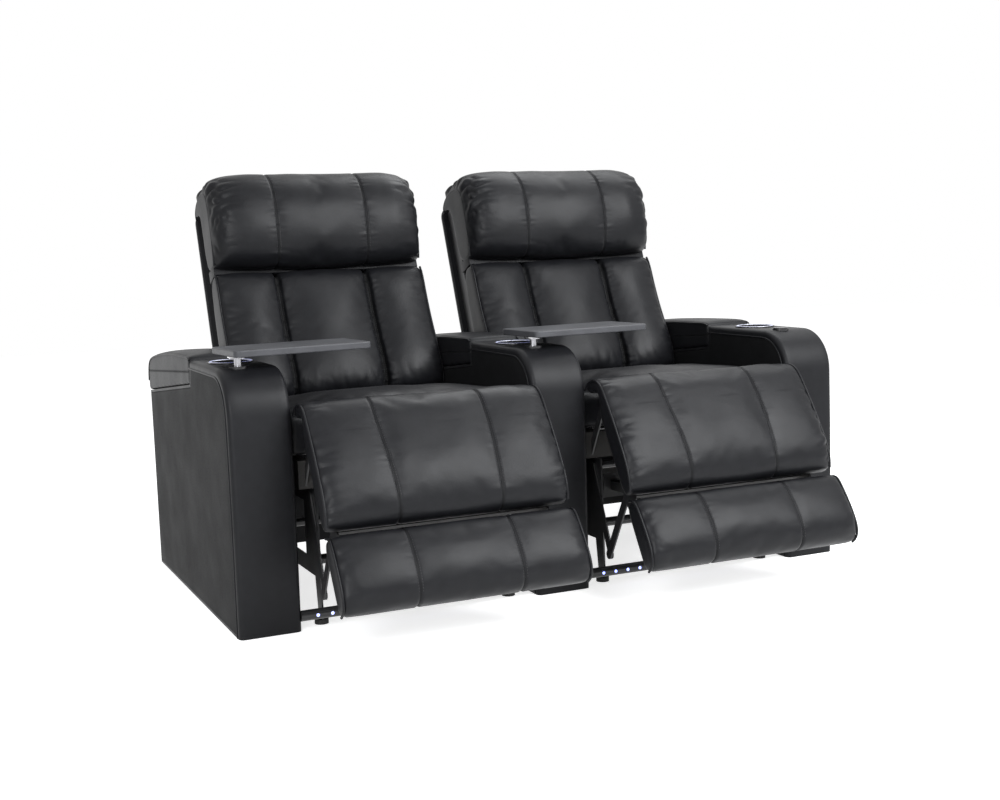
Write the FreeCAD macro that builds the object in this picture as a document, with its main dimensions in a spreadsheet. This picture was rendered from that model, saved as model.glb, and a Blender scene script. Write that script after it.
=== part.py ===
"""Two-seat cinema recliner row: three arms, two powered recliner seats, two swivel trays.

The row's own frame: X to the right seen from the front, Y to the rear, Z up. The origin is on the floor,
under the middle of the centre arm. Lengths "from the front" count from the front face of the arms.
"""
import FreeCAD, Part
import math
import os
import re

import Sketcher

Vector = FreeCAD.Vector
Rotation = FreeCAD.Rotation
Placement = FreeCAD.Placement

# Driving dimensions, in millimetres and degrees. Setbacks count from the arms' front face.
SIZES = {
    "arm_width": 150, "arm_depth": 940, "arm_height": 625, "arm_front_radius": 110, "arm_edge": 10,
    "seat_gap": 620,
    "lid_setback": 388, "lid_front_height": 564, "lid_rear_height": 502, "lid_rise": 14, "lid_gap": 0.5,
    "lid_rear_drop": 36, "lid_overhang": 12, "lid_pin_r": 4, "lid_pin_setback": 952, "lid_pin_height": 490,
    "store_wall": 18, "store_end_wall": 30, "store_floor": 250,
    "cup_setback": 255, "cup_r": 45, "cup_wall": 4, "cup_depth": 78, "cup_flange_r": 56, "cup_flange": 3,
    "socket_setback": 104, "socket_offset": 19, "socket_wall": 6, "socket_depth": 70, "socket_flange_r": 22, "socket_flange": 3,
    "post_r": 9, "post_stand": 27, "run_fit": 0.05, "snug": 0.1,
    "tray_length": 345, "tray_width": 180, "tray_thick": 16, "tray_corner": 14, "tray_edge": 3,
    "post_from_end": 26, "post_from_front": 60, "tray_turn": 5,
    "bezel_setback": 205, "bezel_height": 560, "bezel_length": 74, "bezel_tall": 38, "bezel_deep": 8,
    "bezel_lip": 2, "button_r": 9, "button_long": 10, "button_pitch": 36,
    "frame_half": 288, "frame_front": 48, "frame_rear": 640, "frame_bottom": 330, "frame_top": 398, "rail": 25,
    "spring_count": 5, "spring_r": 2, "spring_wave": 30, "spring_turns": 7,
    "cushion_half": 305, "cushion_bottom": 402, "cushion_front": 39, "cushion_rear": 610,
    "cushion_front_top": 518, "cushion_crown": 8,
    "leg_y": -25, "leg_z": 490, "leg_angle": 31, "roll_r": 60, "hub_r": 22, "pad_half": 302,
    "pad_edge": 62, "pad_crown": 25, "upper_end": 275, "lower_start": 281, "lower_end": 472,
    "seam_x": 131, "seam_dip": 7, "board_half": 262, "board_thick": 18, "upper_board_start": 44,
    "upper_board_end": 266, "lower_board_start": 290, "lower_board_end": 456,
    "plate": 4, "bracket_deep": 50, "bracket_end": 430, "pin_r": 6, "boss_r": 14,
    "stay_down": 237, "stay_back": 34, "link_width": 24, "link_x": 251, "stay_x": 256, "bracket_x": 262,
    "ear_x": 268, "lift_y": 84, "lift_z": 304, "tube_r": 11, "elbow_play": 0.05,
    "side_x": 246, "side_top": 326, "side_low": 110, "side_front": 34, "side_rear": 764, "leg_foot": 30,
    "cross_r": 12, "cross_front_y": 118, "cross_front_z": 140, "cross_rear_y": 540, "cross_rear_z": 150,
    "glide_r": 17, "glide_tall": 12,
    "crank_long": 90, "crank_lead": 11.5, "rail_half": 12, "rail_low": 162, "rail_tall": 27,
    "rail_front": 2, "rail_rear": 420, "carriage_half": 26, "carriage_long": 60, "carriage_top": 198,
    "yoke_gap": 9, "yoke_plate": 6, "yoke_top": 258, "yoke_slot": 22, "yoke_slot_low": 203, "yoke_slot_top": 251,
    "gear_half": 36, "gear_long": 76, "motor_r": 28, "motor_long": 110,
    "hinge_y": 668, "hinge_z": 405, "back_lean": 20, "lever_long": 100, "lever_lead": 16,
    "rod_r": 7, "rod_tube_r": 15, "rod_tube_front": 330, "rod_tube_rear": 612, "rod_start": 440, "lever_pin_r": 5,
    "stile_half": 282, "stile": 30, "stile_deep": 46, "stile_front": 14, "stile_low": 24, "stile_top": 640,
    "panel_half": 300, "panel_thick": 16, "panel_gap": 2, "panel_low": -8, "panel_top": 668,
    "back_low": 34, "back_top": 428, "back_edge": 106, "back_crown": 24, "back_lumbar": 34,
    "back_seam_dip": 15,
    "pillow_low": 436, "pillow_top": 706, "pillow_edge": 108, "pillow_crown": 78, "pillow_wrap": 40,
    "skirt_half": 303, "skirt_thick": 16, "skirt_low": 40, "skirt_top": 362,
    "led_setback": 14, "led_height": 34, "led_r": 13, "led_spot_r": 4, "led_spot_pitch": 36, "led_spot_count": 16,
}

doc = FreeCAD.newDocument("CinemaReclinerRow")
sheet = doc.addObject("Spreadsheet::Sheet", "Sizes")
for row, (alias, value) in enumerate(SIZES.items(), start=1):
    sheet.set("A%d" % row, alias)
    sheet.set("B%d" % row, str(value))
    sheet.setAlias("B%d" % row, alias)
doc.recompute()

NODES = {}
SEATS = {"left": "-(arm_width + seat_gap) / 2", "right": "(arm_width + seat_gap) / 2"}
ARMS = {"left": "-(arm_width + seat_gap)", "centre": "0", "right": "arm_width + seat_gap"}
SIDES = {"left": -1, "right": 1}


def size(alias):
    """Read one driving dimension from the sheet as a plain number."""
    return float(sheet.get(alias))


def bind(thing, prop, text):
    """Bind a property to the sheet; bare names in the text are the sheet's aliases."""
    def full(found):
        word = found.group(0)
        return "Sizes." + word if word in SIZES else word
    thing.setExpression(prop, re.sub(r"[a-z_]+", full, str(text)))


def both(side, near, far):
    """X range on one side of the seat's middle, given distances from the middle."""
    if side > 0:
        return near, far
    return "-(%s)" % far, "-(%s)" % near


def box(name, x, y, z):
    """A block from pairs of (low, high) expressions."""
    block = doc.addObject("Part::Box", name)
    for prop, (low, high) in (("Length", x), ("Width", y), ("Height", z)):
        bind(block, prop, "(%s) - (%s)" % (high, low))
    for axis, (low, high) in (("x", x), ("y", y), ("z", z)):
        bind(block, "Placement.Base." + axis, low)
    return block


def rod(name, along, radius, low, high, a, b):
    """A cylinder along X, Y or Z from low to high; a and b are its other two coordinates, in order."""
    turn = {"x": Rotation(Vector(0, 1, 0), 90), "y": Rotation(Vector(1, 0, 0), -90), "z": Rotation()}[along]
    bar = doc.addObject("Part::Cylinder", name)
    bar.Placement = Placement(Vector(), turn)
    bind(bar, "Radius", radius)
    bind(bar, "Height", "(%s) - (%s)" % (high, low))
    spots = {"x": (low, a, b), "y": (a, low, b), "z": (a, b, low)}[along]
    for axis, text in zip("xyz", spots):
        bind(bar, "Placement.Base." + axis, text)
    return bar


def joined(name, things):
    """Weld solids into one."""
    weld = doc.addObject("Part::MultiFuse", name)
    weld.Shapes = things
    weld.Refine = True
    return weld


def grouped(name, things):
    """Keep separate solids together under one name."""
    group = doc.addObject("Part::Compound", name)
    group.Links = things
    return group


def cut(name, base, tool):
    """Cut one thing, or several, from another."""
    result = doc.addObject("Part::Cut", name)
    result.Base = base
    result.Tool = tool if not isinstance(tool, list) else joined(name + "_tools", tool)
    return result


def plate(name, outline, x):
    """A prism along X from an outline of (Y, Z) expressions, with the body's own sketch and pad."""
    body = doc.addObject("PartDesign::Body", name)
    plane = [o for o in body.Origin.OriginFeatures if o.Role == "YZ_Plane"][0]
    sketch = body.newObject("Sketcher::SketchObject", name + "_outline")
    sketch.AttachmentSupport = [(plane, "")]
    sketch.MapMode = "FlatFace"
    bind(sketch, "AttachmentOffset.Base.z", x[0])
    count = len(outline)
    for i in range(count):
        # rough places; the bound distances below set the true ones
        start = 2 * math.pi * i / count
        end = 2 * math.pi * (i + 1) / count
        sketch.addGeometry(Part.LineSegment(Vector(90 * math.cos(start), 90 * math.sin(start), 0),
                                            Vector(90 * math.cos(end), 90 * math.sin(end), 0)), False)
    for i in range(count):
        sketch.addConstraint(Sketcher.Constraint("Coincident", i, 2, (i + 1) % count, 1))
    for i, (across, up) in enumerate(outline):
        for kind, text in (("DistanceX", across), ("DistanceY", up)):
            number = sketch.addConstraint(Sketcher.Constraint(kind, -1, 1, i, 1, 10.0 + i))
            bind(sketch, "Constraints[%d]" % number, text)
    pad = body.newObject("PartDesign::Pad", name + "_pad")
    pad.Profile = sketch
    bind(pad, "Length", "(%s) - (%s)" % (x[1], x[0]))
    body.Tip = pad
    return body


def strip(name, x, length, start, tilt):
    """A flat link hanging from start (Y, Z), its far end tilted from straight down towards the rear."""
    bar = joined(name, [
        box(name + "_bar", x, ("-link_width / 2", "link_width / 2"), ("-(%s)" % length, "0")),
        rod(name + "_eye", "x", "link_width / 2", x[0], x[1], "0", "0"),
        rod(name + "_end", "x", "link_width / 2", x[0], x[1], "0", "-(%s)" % length),
    ])
    bar.Placement = Placement(Vector(), Rotation(Vector(1, 0, 0), 10))
    bind(bar, "Placement.Base.y", start[0])
    bind(bar, "Placement.Base.z", start[1])
    # a negative tilt would flip the axis, so every link's tilt is given as a positive turn past a full circle
    bind(bar, "Placement.Rotation.Angle", "360 + (%s)" % tilt)
    return bar


def place(label, thing, x="0", y="0", z="0", lean=None):
    """Name a finished sub-part and put it in the row; y counts from the arms' front, lean tips it back."""
    if lean:
        thing.Placement = Placement(Vector(), Rotation(Vector(-1, 0, 0), 10))
        bind(thing, "Placement.Rotation.Angle", lean)
    for axis, text in zip("xyz", (x, "(%s) - arm_depth / 2" % y, z)):
        bind(thing, "Placement.Base." + axis, text)
    thing.Label = label
    NODES[label] = thing
    return thing


def rounded(name, base, radius, wanted):
    """Round the edges of a body's last feature that the test picks."""
    doc.recompute()
    last = base.Tip
    picked = ["Edge%d" % (i + 1) for i, edge in enumerate(last.Shape.Edges) if wanted(edge)]
    feature = base.newObject("PartDesign::Fillet", name)
    feature.Base = (last, picked)
    bind(feature, "Radius", radius)
    base.Tip = feature
    doc.recompute()


# Arms

def make_arm(place_name, x):
    """A padded box with a round front top, a storage well at the rear, a cup well and a tray socket well."""
    name = "arm_" + place_name
    half = "arm_width / 2"
    outline = [("0", "0"), ("0", "arm_height"), ("lid_setback", "arm_height"), ("lid_setback", "lid_front_height"),
               ("arm_depth", "lid_rear_height"), ("arm_depth", "0")]
    block = plate(name + "_block", outline, ("-" + half, half))
    top = size("arm_height")
    edge_x = size("arm_width") / 2

    def front_top(edge):
        return abs(edge.CenterOfMass.x) < 1 and abs(edge.CenterOfMass.y) < 1 and edge.CenterOfMass.z > top - 1

    def padded_edge(edge):
        centre = edge.CenterOfMass
        on_side = all(abs(abs(v.X) - edge_x) < 0.01 for v in edge.Vertexes)
        lid_seat = centre.y > size("lid_setback") - 1 and centre.z > size("lid_rear_height") - 1
        return on_side and len(edge.Vertexes) == 2 and abs(centre.x) > edge_x - 1 and centre.z > 1 and not lid_seat
    rounded(name + "_front", block, "arm_front_radius", front_top)
    rounded(name + "_edges", block, "arm_edge", padded_edge)
    tools = [
        box(name + "_store", ("store_wall - arm_width / 2", "arm_width / 2 - store_wall"),
            ("lid_setback + store_end_wall", "arm_depth - store_end_wall"), ("store_floor", "arm_height")),
        rod(name + "_cup_well", "z", "cup_r + cup_wall + snug", "arm_height - cup_depth - cup_wall",
            "arm_height + 1", "0", "cup_setback"),
        rod(name + "_socket_well", "z", "post_r + socket_wall + snug", "arm_height - socket_depth - socket_wall",
            "arm_height + 1", "-socket_offset", "socket_setback"),
        rod(name + "_socket_seat", "z", "socket_flange_r + snug", "arm_height - socket_flange",
            "arm_height + 1", "-socket_offset", "socket_setback"),
    ]
    if place_name != "right":
        tools.append(box(name + "_bezel_well", ("arm_width / 2 - bezel_deep", "arm_width / 2 + 1"),
                         ("bezel_setback - bezel_length / 2 - snug", "bezel_setback + bezel_length / 2 + snug"),
                         ("bezel_height - snug", "bezel_height + bezel_tall + snug")))
    place(name, cut(name + "_wells", block, tools), x)
def section(points):
    """A closed wire in the YZ plane. Each step is a point for a line, or (through, point) for an arc."""
    edges = []
    last = points[0]
    for step in points[1:] + [points[0]]:
        if isinstance(step[0], tuple):
            through, end = step
            edges.append(Part.Arc(Vector(0, *last), Vector(0, *through), Vector(0, *end)).toShape())
        else:
            end = step
            edges.append(Part.LineSegment(Vector(0, *last), Vector(0, *end)).toShape())
        last = end
    return Part.Wire(edges)


def padded(name, stations, outline):
    """A stuffed form: sections along X, each from its own swell (0 at the sewn end, 1 at full crown)."""
    wires = []
    for x, swell in stations:
        wire = section(outline(swell))
        wire.translate(Vector(x, 0, 0))
        wires.append(wire)
    form = doc.addObject("Part::Feature", name)
    form.Shape = Part.makeLoft(wires, True, True)
    return form


def channel_stations(half, seams, end, dip):
    """Stations across a pad with sewn channels: drawn in at both ends and dipped at each seam."""
    marks = [-half] + seams + [half]
    stations = [(-half, end)]
    for low, high in zip(marks, marks[1:]):
        for share, swell in ((0.06, 0.62), (0.16, 0.84), (0.32, 0.96), (0.5, 1.0), (0.68, 0.96), (0.84, 0.84),
                             (0.94, 0.62)):
            stations.append((low + share * (high - low), dip + (1 - dip) * swell if swell < 1 else 1.0))
        stations.append((high, dip if high < half else end))
    return stations


def make_lid(place_name, x):
    """The padded lid over an arm's storage well, crowned across its width."""
    setback, depth, height = size("lid_setback"), size("arm_depth"), size("arm_height")
    front, rear = size("lid_front_height"), size("lid_rear_height")
    slope = (rear - front) / (depth - setback)
    gap, rise, drop, over = size("lid_gap"), size("lid_rise"), size("lid_rear_drop"), size("lid_overhang")

    def outline(swell):
        top = height + rise - 9 * (1 - swell)
        inset = 4 * (1 - swell)
        near, far = setback + 2 + inset, depth + over - inset
        middle = setback + 0.55 * (depth - setback)
        return [(near, front + gap), (near, top - 18), ((near + 5, top - 5), (near + 18, top)), (middle, top - 6),
                ((depth - 70, top - 19), (depth - 14, top - drop)),
                ((far - 6, top - drop - 14), (far, top - drop - 34)), (far, rear + slope * over + gap)]
    half = size("arm_width") / 2
    stations = [(-half, 0), (-half + 5, 0.5), (-half + 22, 0.88), (0, 1), (half - 22, 0.88), (half - 5, 0.5),
                (half, 0)]
    place("lid_" + place_name, padded("lid_%s_form" % place_name, stations, outline), x)


def make_lid_hinges():
    """One short hinge behind each arm: a leaf on the arm's rear face and the pin that the lid turns on."""
    sets = []
    for place_name, x in ARMS.items():
        name = "lid_hinge_" + place_name
        hinge = joined(name, [
            box(name + "_leaf", ("-40", "40"), ("arm_depth", "arm_depth + plate"),
                ("lid_pin_height - 24", "lid_pin_height + lid_pin_r")),
            box(name + "_web", ("-40", "40"), ("arm_depth", "lid_pin_setback"),
                ("lid_pin_height - lid_pin_r / 2", "lid_pin_height + lid_pin_r / 2")),
            rod(name + "_pin", "x", "lid_pin_r", "-46", "46", "lid_pin_setback", "lid_pin_height"),
        ])
        bind(hinge, "Placement.Base.x", x)
        sets.append(hinge)
    place("lid_hinges", grouped("lid_hinge_sets", sets))


def make_cups():
    """A flanged cup in each arm."""
    cups = []
    for place_name, x in ARMS.items():
        name = "cup_" + place_name
        shell = joined(name + "_shell", [
            rod(name + "_wall", "z", "cup_r + cup_wall", "arm_height - cup_depth - cup_wall", "arm_height",
                "0", "cup_setback"),
            rod(name + "_flange", "z", "cup_flange_r", "arm_height", "arm_height + cup_flange", "0", "cup_setback"),
        ])
        cup = cut(name, shell, rod(name + "_bore", "z", "cup_r", "arm_height - cup_depth",
                                   "arm_height + cup_flange + 1", "0", "cup_setback"))
        bind(cup, "Placement.Base.x", x)
        cups.append(cup)
    place("cup_holders", grouped("cup_set", cups))


def make_sockets():
    """A tray socket in each arm; the right one, which has no tray, is plugged."""
    spot = ("-socket_offset", "socket_setback")
    sockets = []
    for place_name, x in ARMS.items():
        name = "socket_" + place_name
        sleeve = joined(name + "_sleeve", [
            rod(name + "_wall", "z", "post_r + socket_wall", "arm_height - socket_depth - socket_wall",
                "arm_height - socket_flange", *spot),
            rod(name + "_flange", "z", "socket_flange_r", "arm_height - socket_flange", "arm_height + socket_flange",
                *spot),
        ])
        socket = cut(name, sleeve, rod(name + "_bore", "z", "post_r + run_fit", "arm_height - socket_depth",
                                       "arm_height + socket_flange + 1", *spot))
        pieces = [socket]
        if place_name == "right":
            pieces.append(joined(name + "_plug", [
                rod(name + "_stem", "z", "post_r - snug", "arm_height - socket_depth / 2",
                    "arm_height + socket_flange", *spot),
                rod(name + "_cap", "z", "socket_flange_r - 2", "arm_height + socket_flange",
                    "arm_height + 2 * socket_flange", *spot),
            ]))
        group = grouped(name + "_set", pieces)
        bind(group, "Placement.Base.x", x)
        sockets.append(group)
    place("tray_sockets", grouped("socket_sets", sockets))


def make_tray(seat, x):
    """A swivel tray and the post that it turns on, with a round boss under the tray."""
    name = "tray_" + seat
    base = "arm_height + post_stand"
    board = box(name + "_board", ("-post_from_end", "tray_length - post_from_end"),
                ("-post_from_front", "tray_width - post_from_front"), (base, base + " + tray_thick"))
    doc.recompute()
    corners = doc.addObject("Part::Fillet", name + "_corners")
    corners.Base = board
    upright = [i + 1 for i, edge in enumerate(board.Shape.Edges)
               if abs(edge.Vertexes[0].Z - edge.Vertexes[1].Z) > 1]
    corners.Edges = [(i, size("tray_corner"), size("tray_corner")) for i in upright]
    doc.recompute()
    softened = doc.addObject("Part::Fillet", name + "_softened")
    softened.Base = corners
    rims = [i + 1 for i, edge in enumerate(corners.Shape.Edges) if edge.BoundBox.ZLength < 0.1]
    softened.Edges = [(i, size("tray_edge"), size("tray_edge")) for i in rims]
    softened.Placement = Placement(Vector(), Rotation(Vector(0, 0, 1), 5))
    bind(softened, "Placement.Rotation.Angle", "tray_turn")
    place(name, softened, "%s - socket_offset" % x, "socket_setback")
    post = joined("tray_post_%s_weld" % seat, [
        rod("post_%s_bar" % seat, "z", "post_r", "arm_height - socket_depth", base, "0", "0"),
        rod("post_%s_boss" % seat, "z", "socket_flange_r - 2", base + " - 6", base, "0", "0"),
    ])
    place("tray_post_" + seat, post, "%s - socket_offset" % x, "socket_setback")


def make_controls():
    """A two-button bezel let into the arm's inner face beside each seat."""
    bezels = []
    face = "arm_width / 2"
    height = "bezel_height + bezel_tall / 2"
    for seat, arm_x in (("left", ARMS["left"]), ("right", ARMS["centre"])):
        name = "bezel_" + seat
        body = joined(name + "_body", [
            box(name + "_well", (face + " - bezel_deep", face),
                ("bezel_setback - bezel_length / 2", "bezel_setback + bezel_length / 2"),
                ("bezel_height", "bezel_height + bezel_tall")),
            box(name + "_lip", (face, face + " + bezel_lip"),
                ("bezel_setback - bezel_length / 2 - 3", "bezel_setback + bezel_length / 2 + 3"),
                ("bezel_height - 3", "bezel_height + bezel_tall + 3")),
        ])
        holes = []
        for word, way in (("open", -1), ("close", 1)):
            spot = "bezel_setback + (%d) * button_pitch / 2" % way
            holes.append(rod("%s_%s_hole" % (name, word), "x", "button_r + 0.2", face + " - bezel_deep - 1",
                             face + " + bezel_lip + 1", spot, height))
            button = rod("button_%s_%s_cap" % (word, seat), "x", "button_r", face + " - bezel_deep + 2",
                         face + " - bezel_deep + 2 + button_long", "0", height)
            bind(button, "Placement.Base.x", "(%s) + %s - bezel_deep + 2" % (arm_x, face))
            NODES["button_%s_%s" % (word, seat)] = button
            button.Label = "button_%s_%s" % (word, seat)
            bind(button, "Placement.Base.y", spot + " - arm_depth / 2")
        bezel = cut(name, body, holes)
        bind(bezel, "Placement.Base.x", arm_x)
        bezels.append(bezel)
    place("control_bezels", grouped("bezel_set", bezels))


# Seat structure

def make_frame(seat, x):
    """Wooden seat frame: two side rails between a front and a rear rail."""
    name = "frame_" + seat
    across = ("-frame_half", "frame_half")
    tall = ("frame_bottom", "frame_top")
    rails = [box(name + "_front", across, ("frame_front", "frame_front + rail"), tall),
             box(name + "_rear", across, ("frame_rear - rail", "frame_rear"), tall)]
    for side, way in SIDES.items():
        rails.append(box("%s_%s" % (name, side), both(way, "frame_half - rail", "frame_half"),
                         ("frame_front + rail", "frame_rear - rail"), tall))
    place("seat_frame_" + seat, grouped(name, rails), x)


def make_springs(seat, x):
    """Wave springs between the front and rear rails."""
    wire_r = size("spring_r")
    start = size("frame_front") + size("rail") + wire_r
    end = size("frame_rear") - size("rail") - wire_r
    turns = 2 * int(size("spring_turns"))
    bend = (end - start) / turns / 2
    wires = []
    for number in range(int(size("spring_count"))):
        middle = (number - (size("spring_count") - 1) / 2) * 3 * size("spring_wave")
        height = size("frame_top") - 10
        arcs = []
        for turn in range(turns):
            near = Vector(middle, start + 2 * bend * turn, height)
            side = Vector(middle + bend * (1 if turn % 2 else -1), near.y + bend, height)
            arcs.append(Part.Arc(near, side, Vector(middle, near.y + 2 * bend, height)).toShape())
        ring = Part.Wire([Part.Circle(arcs[0].valueAt(arcs[0].FirstParameter),
                                      arcs[0].tangentAt(arcs[0].FirstParameter), wire_r).toShape()])
        wires.append(Part.Wire(arcs).makePipeShell([ring], True, False))
    springs = doc.addObject("Part::Feature", "springs_" + seat)
    springs.Shape = Part.makeCompound(wires)
    place("seat_springs_" + seat, springs, x)


def make_seat_cushion(seat, x):
    """The seat cushion: highest at the front, falling to the rear under the back cushion."""
    front, rear, low = size("cushion_front"), size("cushion_rear"), size("cushion_bottom")
    top = size("cushion_front_top")

    def outline(swell):
        up = top + size("cushion_crown") * (swell - 1)
        inset = 3 * (1 - swell)
        return [(front + inset, low), (front + inset, up - 30), ((front + 7, up - 8), (front + 30, up)),
                ((300, up - 5), (rear - 90, up - 36)), ((rear - 30, up - 58), (rear - inset, up - 96)),
                (rear - inset, low)]
    stations = channel_stations(size("cushion_half"), [], 0, 0)
    place("seat_cushion_" + seat, padded("seat_cushion_%s_form" % seat, stations, outline), x)


def make_ears(seat, x):
    """Steel ears on the seat frame, each with its pin: two carry the legrest and two carry the back."""
    ears = []
    for side, way in SIDES.items():
        name = "ear_%s_%s" % (seat, side)
        near = both(way, "ear_x", "ear_x + plate")
        ears.append(joined(name + "_front", [
            plate(name + "_front_web", [("leg_y - 9", "leg_z - 6"), ("leg_y + 9", "leg_z + 6"),
                                        ("frame_front", "frame_top - 20"), ("frame_front", "frame_top - 60")], near),
            rod(name + "_front_boss", "x", "boss_r", near[0], near[1], "leg_y", "leg_z"),
            rod(name + "_front_pin", "x", "pin_r", *both(way, "bracket_x - 1", "ear_x + plate"), "leg_y", "leg_z"),
        ]))
        outer = both(way, "frame_half", "frame_half + plate")
        ears.append(joined(name + "_rear", [
            plate(name + "_rear_web", [("frame_rear - 84", "frame_bottom + 6"), ("frame_rear - 4", "frame_bottom + 6"),
                                       ("hinge_y + 15", "hinge_z - 6"), ("hinge_y - 6", "hinge_z + 16"),
                                       ("cushion_rear + 4", "frame_top"), ("frame_rear - 84", "frame_top - 2")],
                  outer),
            rod(name + "_rear_boss", "x", "boss_r + 3", outer[0], outer[1], "hinge_y", "hinge_z"),
            rod(name + "_rear_pin", "x", "pin_r", *both(way, "stile_half - 1", "frame_half + plate"),
                "hinge_y", "hinge_z"),
        ]))
    place("hinge_ears_" + seat, grouped("ears_" + seat, ears), x)


def make_base(seat, x):
    """Steel base: two side plates with feet, their top flanges, two cross tubes and the light bar's saddles."""
    name = "base_" + seat
    outline = [("side_front", "glide_tall"), ("side_front + leg_foot", "glide_tall"),
               ("side_front + leg_foot + 14", "side_low"), ("side_rear - 124", "side_low"),
               ("side_rear - 110", "glide_tall"), ("side_rear - 80", "glide_tall"), ("side_rear - 74", "side_low - 40"),
               ("side_rear", "side_low - 40"), ("side_rear", "side_low + 20"), ("side_rear - 64", "side_low + 40"),
               ("side_rear - 124", "side_top"), ("side_front + 6", "side_top")]
    pieces = []
    for side, way in SIDES.items():
        wide = both(way, "side_x", "side_x + plate")
        part = "%s_%s" % (name, side)
        through = both(way, "side_x - 1", "side_x + plate + 1")
        windows = [box(part + "_window_%d" % i, through, (low, high), ("side_low + 40", "side_top - 40"))
                   for i, (low, high) in enumerate((("side_front + 110", "side_front + 250"),
                                                    ("side_front + 290", "side_front + 440")))]
        windows.append(rod(part + "_journal", "x", "tube_r + run_fit", *through, "lift_y", "lift_z"))
        pieces.append(cut(part, plate(part + "_plate", outline, wide), windows))
        pieces.append(box(part + "_flange", both(way, "side_x", "frame_half"), ("side_front + 60", "side_rear - 160"),
                          ("side_top", "frame_bottom")))
        pieces.append(cut(part + "_saddle", box(part + "_clip", both(way, "side_x - 6", "side_x + plate + 6"),
                                                ("led_setback", "side_front"),
                                                ("led_height - 8", "led_height + 8")),
                          rod(part + "_clip_bore", "x", "led_r + run_fit", *both(way, "side_x - 7", "side_x + plate + 7"),
                              "led_setback", "led_height")))
    for word in ("front", "rear"):
        pieces.append(rod("%s_%s_tube" % (name, word), "x", "cross_r", "-side_x", "side_x",
                          "cross_%s_y" % word, "cross_%s_z" % word))
    place("mechanism_base_" + seat, grouped(name, pieces), x)


def make_glides():
    """A round glide under each foot of both bases."""
    glides = []
    for seat, x in SEATS.items():
        for side, way in SIDES.items():
            for word, spot in (("front", "side_front + leg_foot / 2"), ("rear", "side_rear - 95")):
                glides.append(rod("glide_%s_%s_%s" % (seat, side, word), "z", "glide_r", "0", "glide_tall",
                                  "(%s) + (%d) * (side_x + plate / 2)" % (x, way), spot))
    place("glides", grouped("glide_set", glides))


# Legrest and its linkage: a parallelogram, so the stay links keep their angle while the lift links turn
# with the legrest

def make_leg_brackets(seat, x):
    """Steel brackets down the back of the legrest, one each side, with a pin for the stay link."""
    brackets = []
    for side, way in SIDES.items():
        name = "leg_bracket_%s_%s" % (seat, side)
        wide = both(way, "bracket_x", "bracket_x + plate")
        web = joined(name + "_web", [
            plate(name + "_plate", [("2", "-boss_r - 10"), ("0.5", "-bracket_end"), ("26", "-bracket_end"),
                                    ("bracket_deep", "-stay_down - 34"), ("bracket_deep", "-stay_down + 28"),
                                    ("boss_r - 1", "0"), ("2", "boss_r - 3"), ("-boss_r + 1", "0")], wide),
            rod(name + "_boss", "x", "boss_r", *wide, "0", "0"),
            rod(name + "_pin", "x", "pin_r", *both(way, "stay_x - 1", "bracket_x + plate"), "stay_back",
                "-stay_down"),
        ])
        brackets.append(cut(name, web, rod(name + "_hole", "x", "pin_r + run_fit",
                                           *both(way, "bracket_x - 1", "bracket_x + plate + 1"), "0", "0")))
    place("leg_brackets_" + seat, grouped("leg_brackets_set_" + seat, brackets), x, "leg_y", "leg_z", "leg_angle")


def make_leg_boards(seat, x):
    """The two boards that carry the legrest pads."""
    across = ("-board_half", "board_half")
    boards = [box("leg_board_%s_%s" % (word, seat), across, ("0.5", "board_thick + 0.5"),
                  ("-%s_board_end" % word, "-%s_board_start" % word)) for word in ("upper", "lower")]
    place("leg_boards_" + seat, grouped("leg_boards_set_" + seat, boards), x, "leg_y", "leg_z", "leg_angle")


def make_leg_pads(seat, x):
    """The chaise pad, rolled round the legrest's hinge line at its top, and the lower pad in line with it."""
    roll, hub, edge, crown = size("roll_r"), size("hub_r"), size("pad_edge"), size("pad_crown")
    low, start, end = size("upper_end"), size("lower_start"), size("lower_end")
    lip = math.radians(57)

    def around(radius, angle):
        return (radius * math.cos(angle), radius * math.sin(angle))

    def upper(swell):
        # the roll keeps its radius, so it turns in place in front of the seat cushion
        r = roll - 8 * (1 - swell) ** 2
        face = edge - 12 + 12 * swell
        full = face + 2 + (crown - 2) * swell
        foot = low - 5 * (1 - swell)
        return [(0, -hub), (around(hub, math.radians(-135)), (-hub, 0)),
                (around(hub, (math.pi + lip) / 2), around(hub, lip)), around(r, lip),
                (around(r, math.radians(85)), around(r, math.radians(118))),
                (around(r, math.radians(150)), (-r, 0)),
                ((-full, -0.55 * low), (-(face + 10 * swell), -(foot - 22))),
                ((-face + 8, -(foot - 3)), (-face + 26, -foot)), (0, -(foot - 3))]

    def lower(swell):
        face = edge - 8 + 8 * swell
        full = face + 2 + crown * swell
        head = start + 4 * (1 - swell)
        foot = end - 5 * (1 - swell)
        return [(0, -(head + 4)), (-face + 30, -head), ((-face + 6, -(head + 4)), (-face - 6 * swell, -(head + 22))),
                ((-full, -(0.42 * head + 0.58 * foot)), (-face, -(foot - 20))),
                ((-face + 8, -(foot - 4)), (-face + 26, -foot)), (0, -(foot - 3))]
    seams = [-size("seam_x"), size("seam_x")]
    stations = channel_stations(size("pad_half"), seams, 0, 1 - size("seam_dip") / crown)
    for word, outline in (("upper", upper), ("lower", lower)):
        place("%s_leg_pad_%s" % (word, seat), padded("%s_leg_pad_%s_form" % (word, seat), stations, outline),
              x, "leg_y", "leg_z", "leg_angle")


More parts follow.
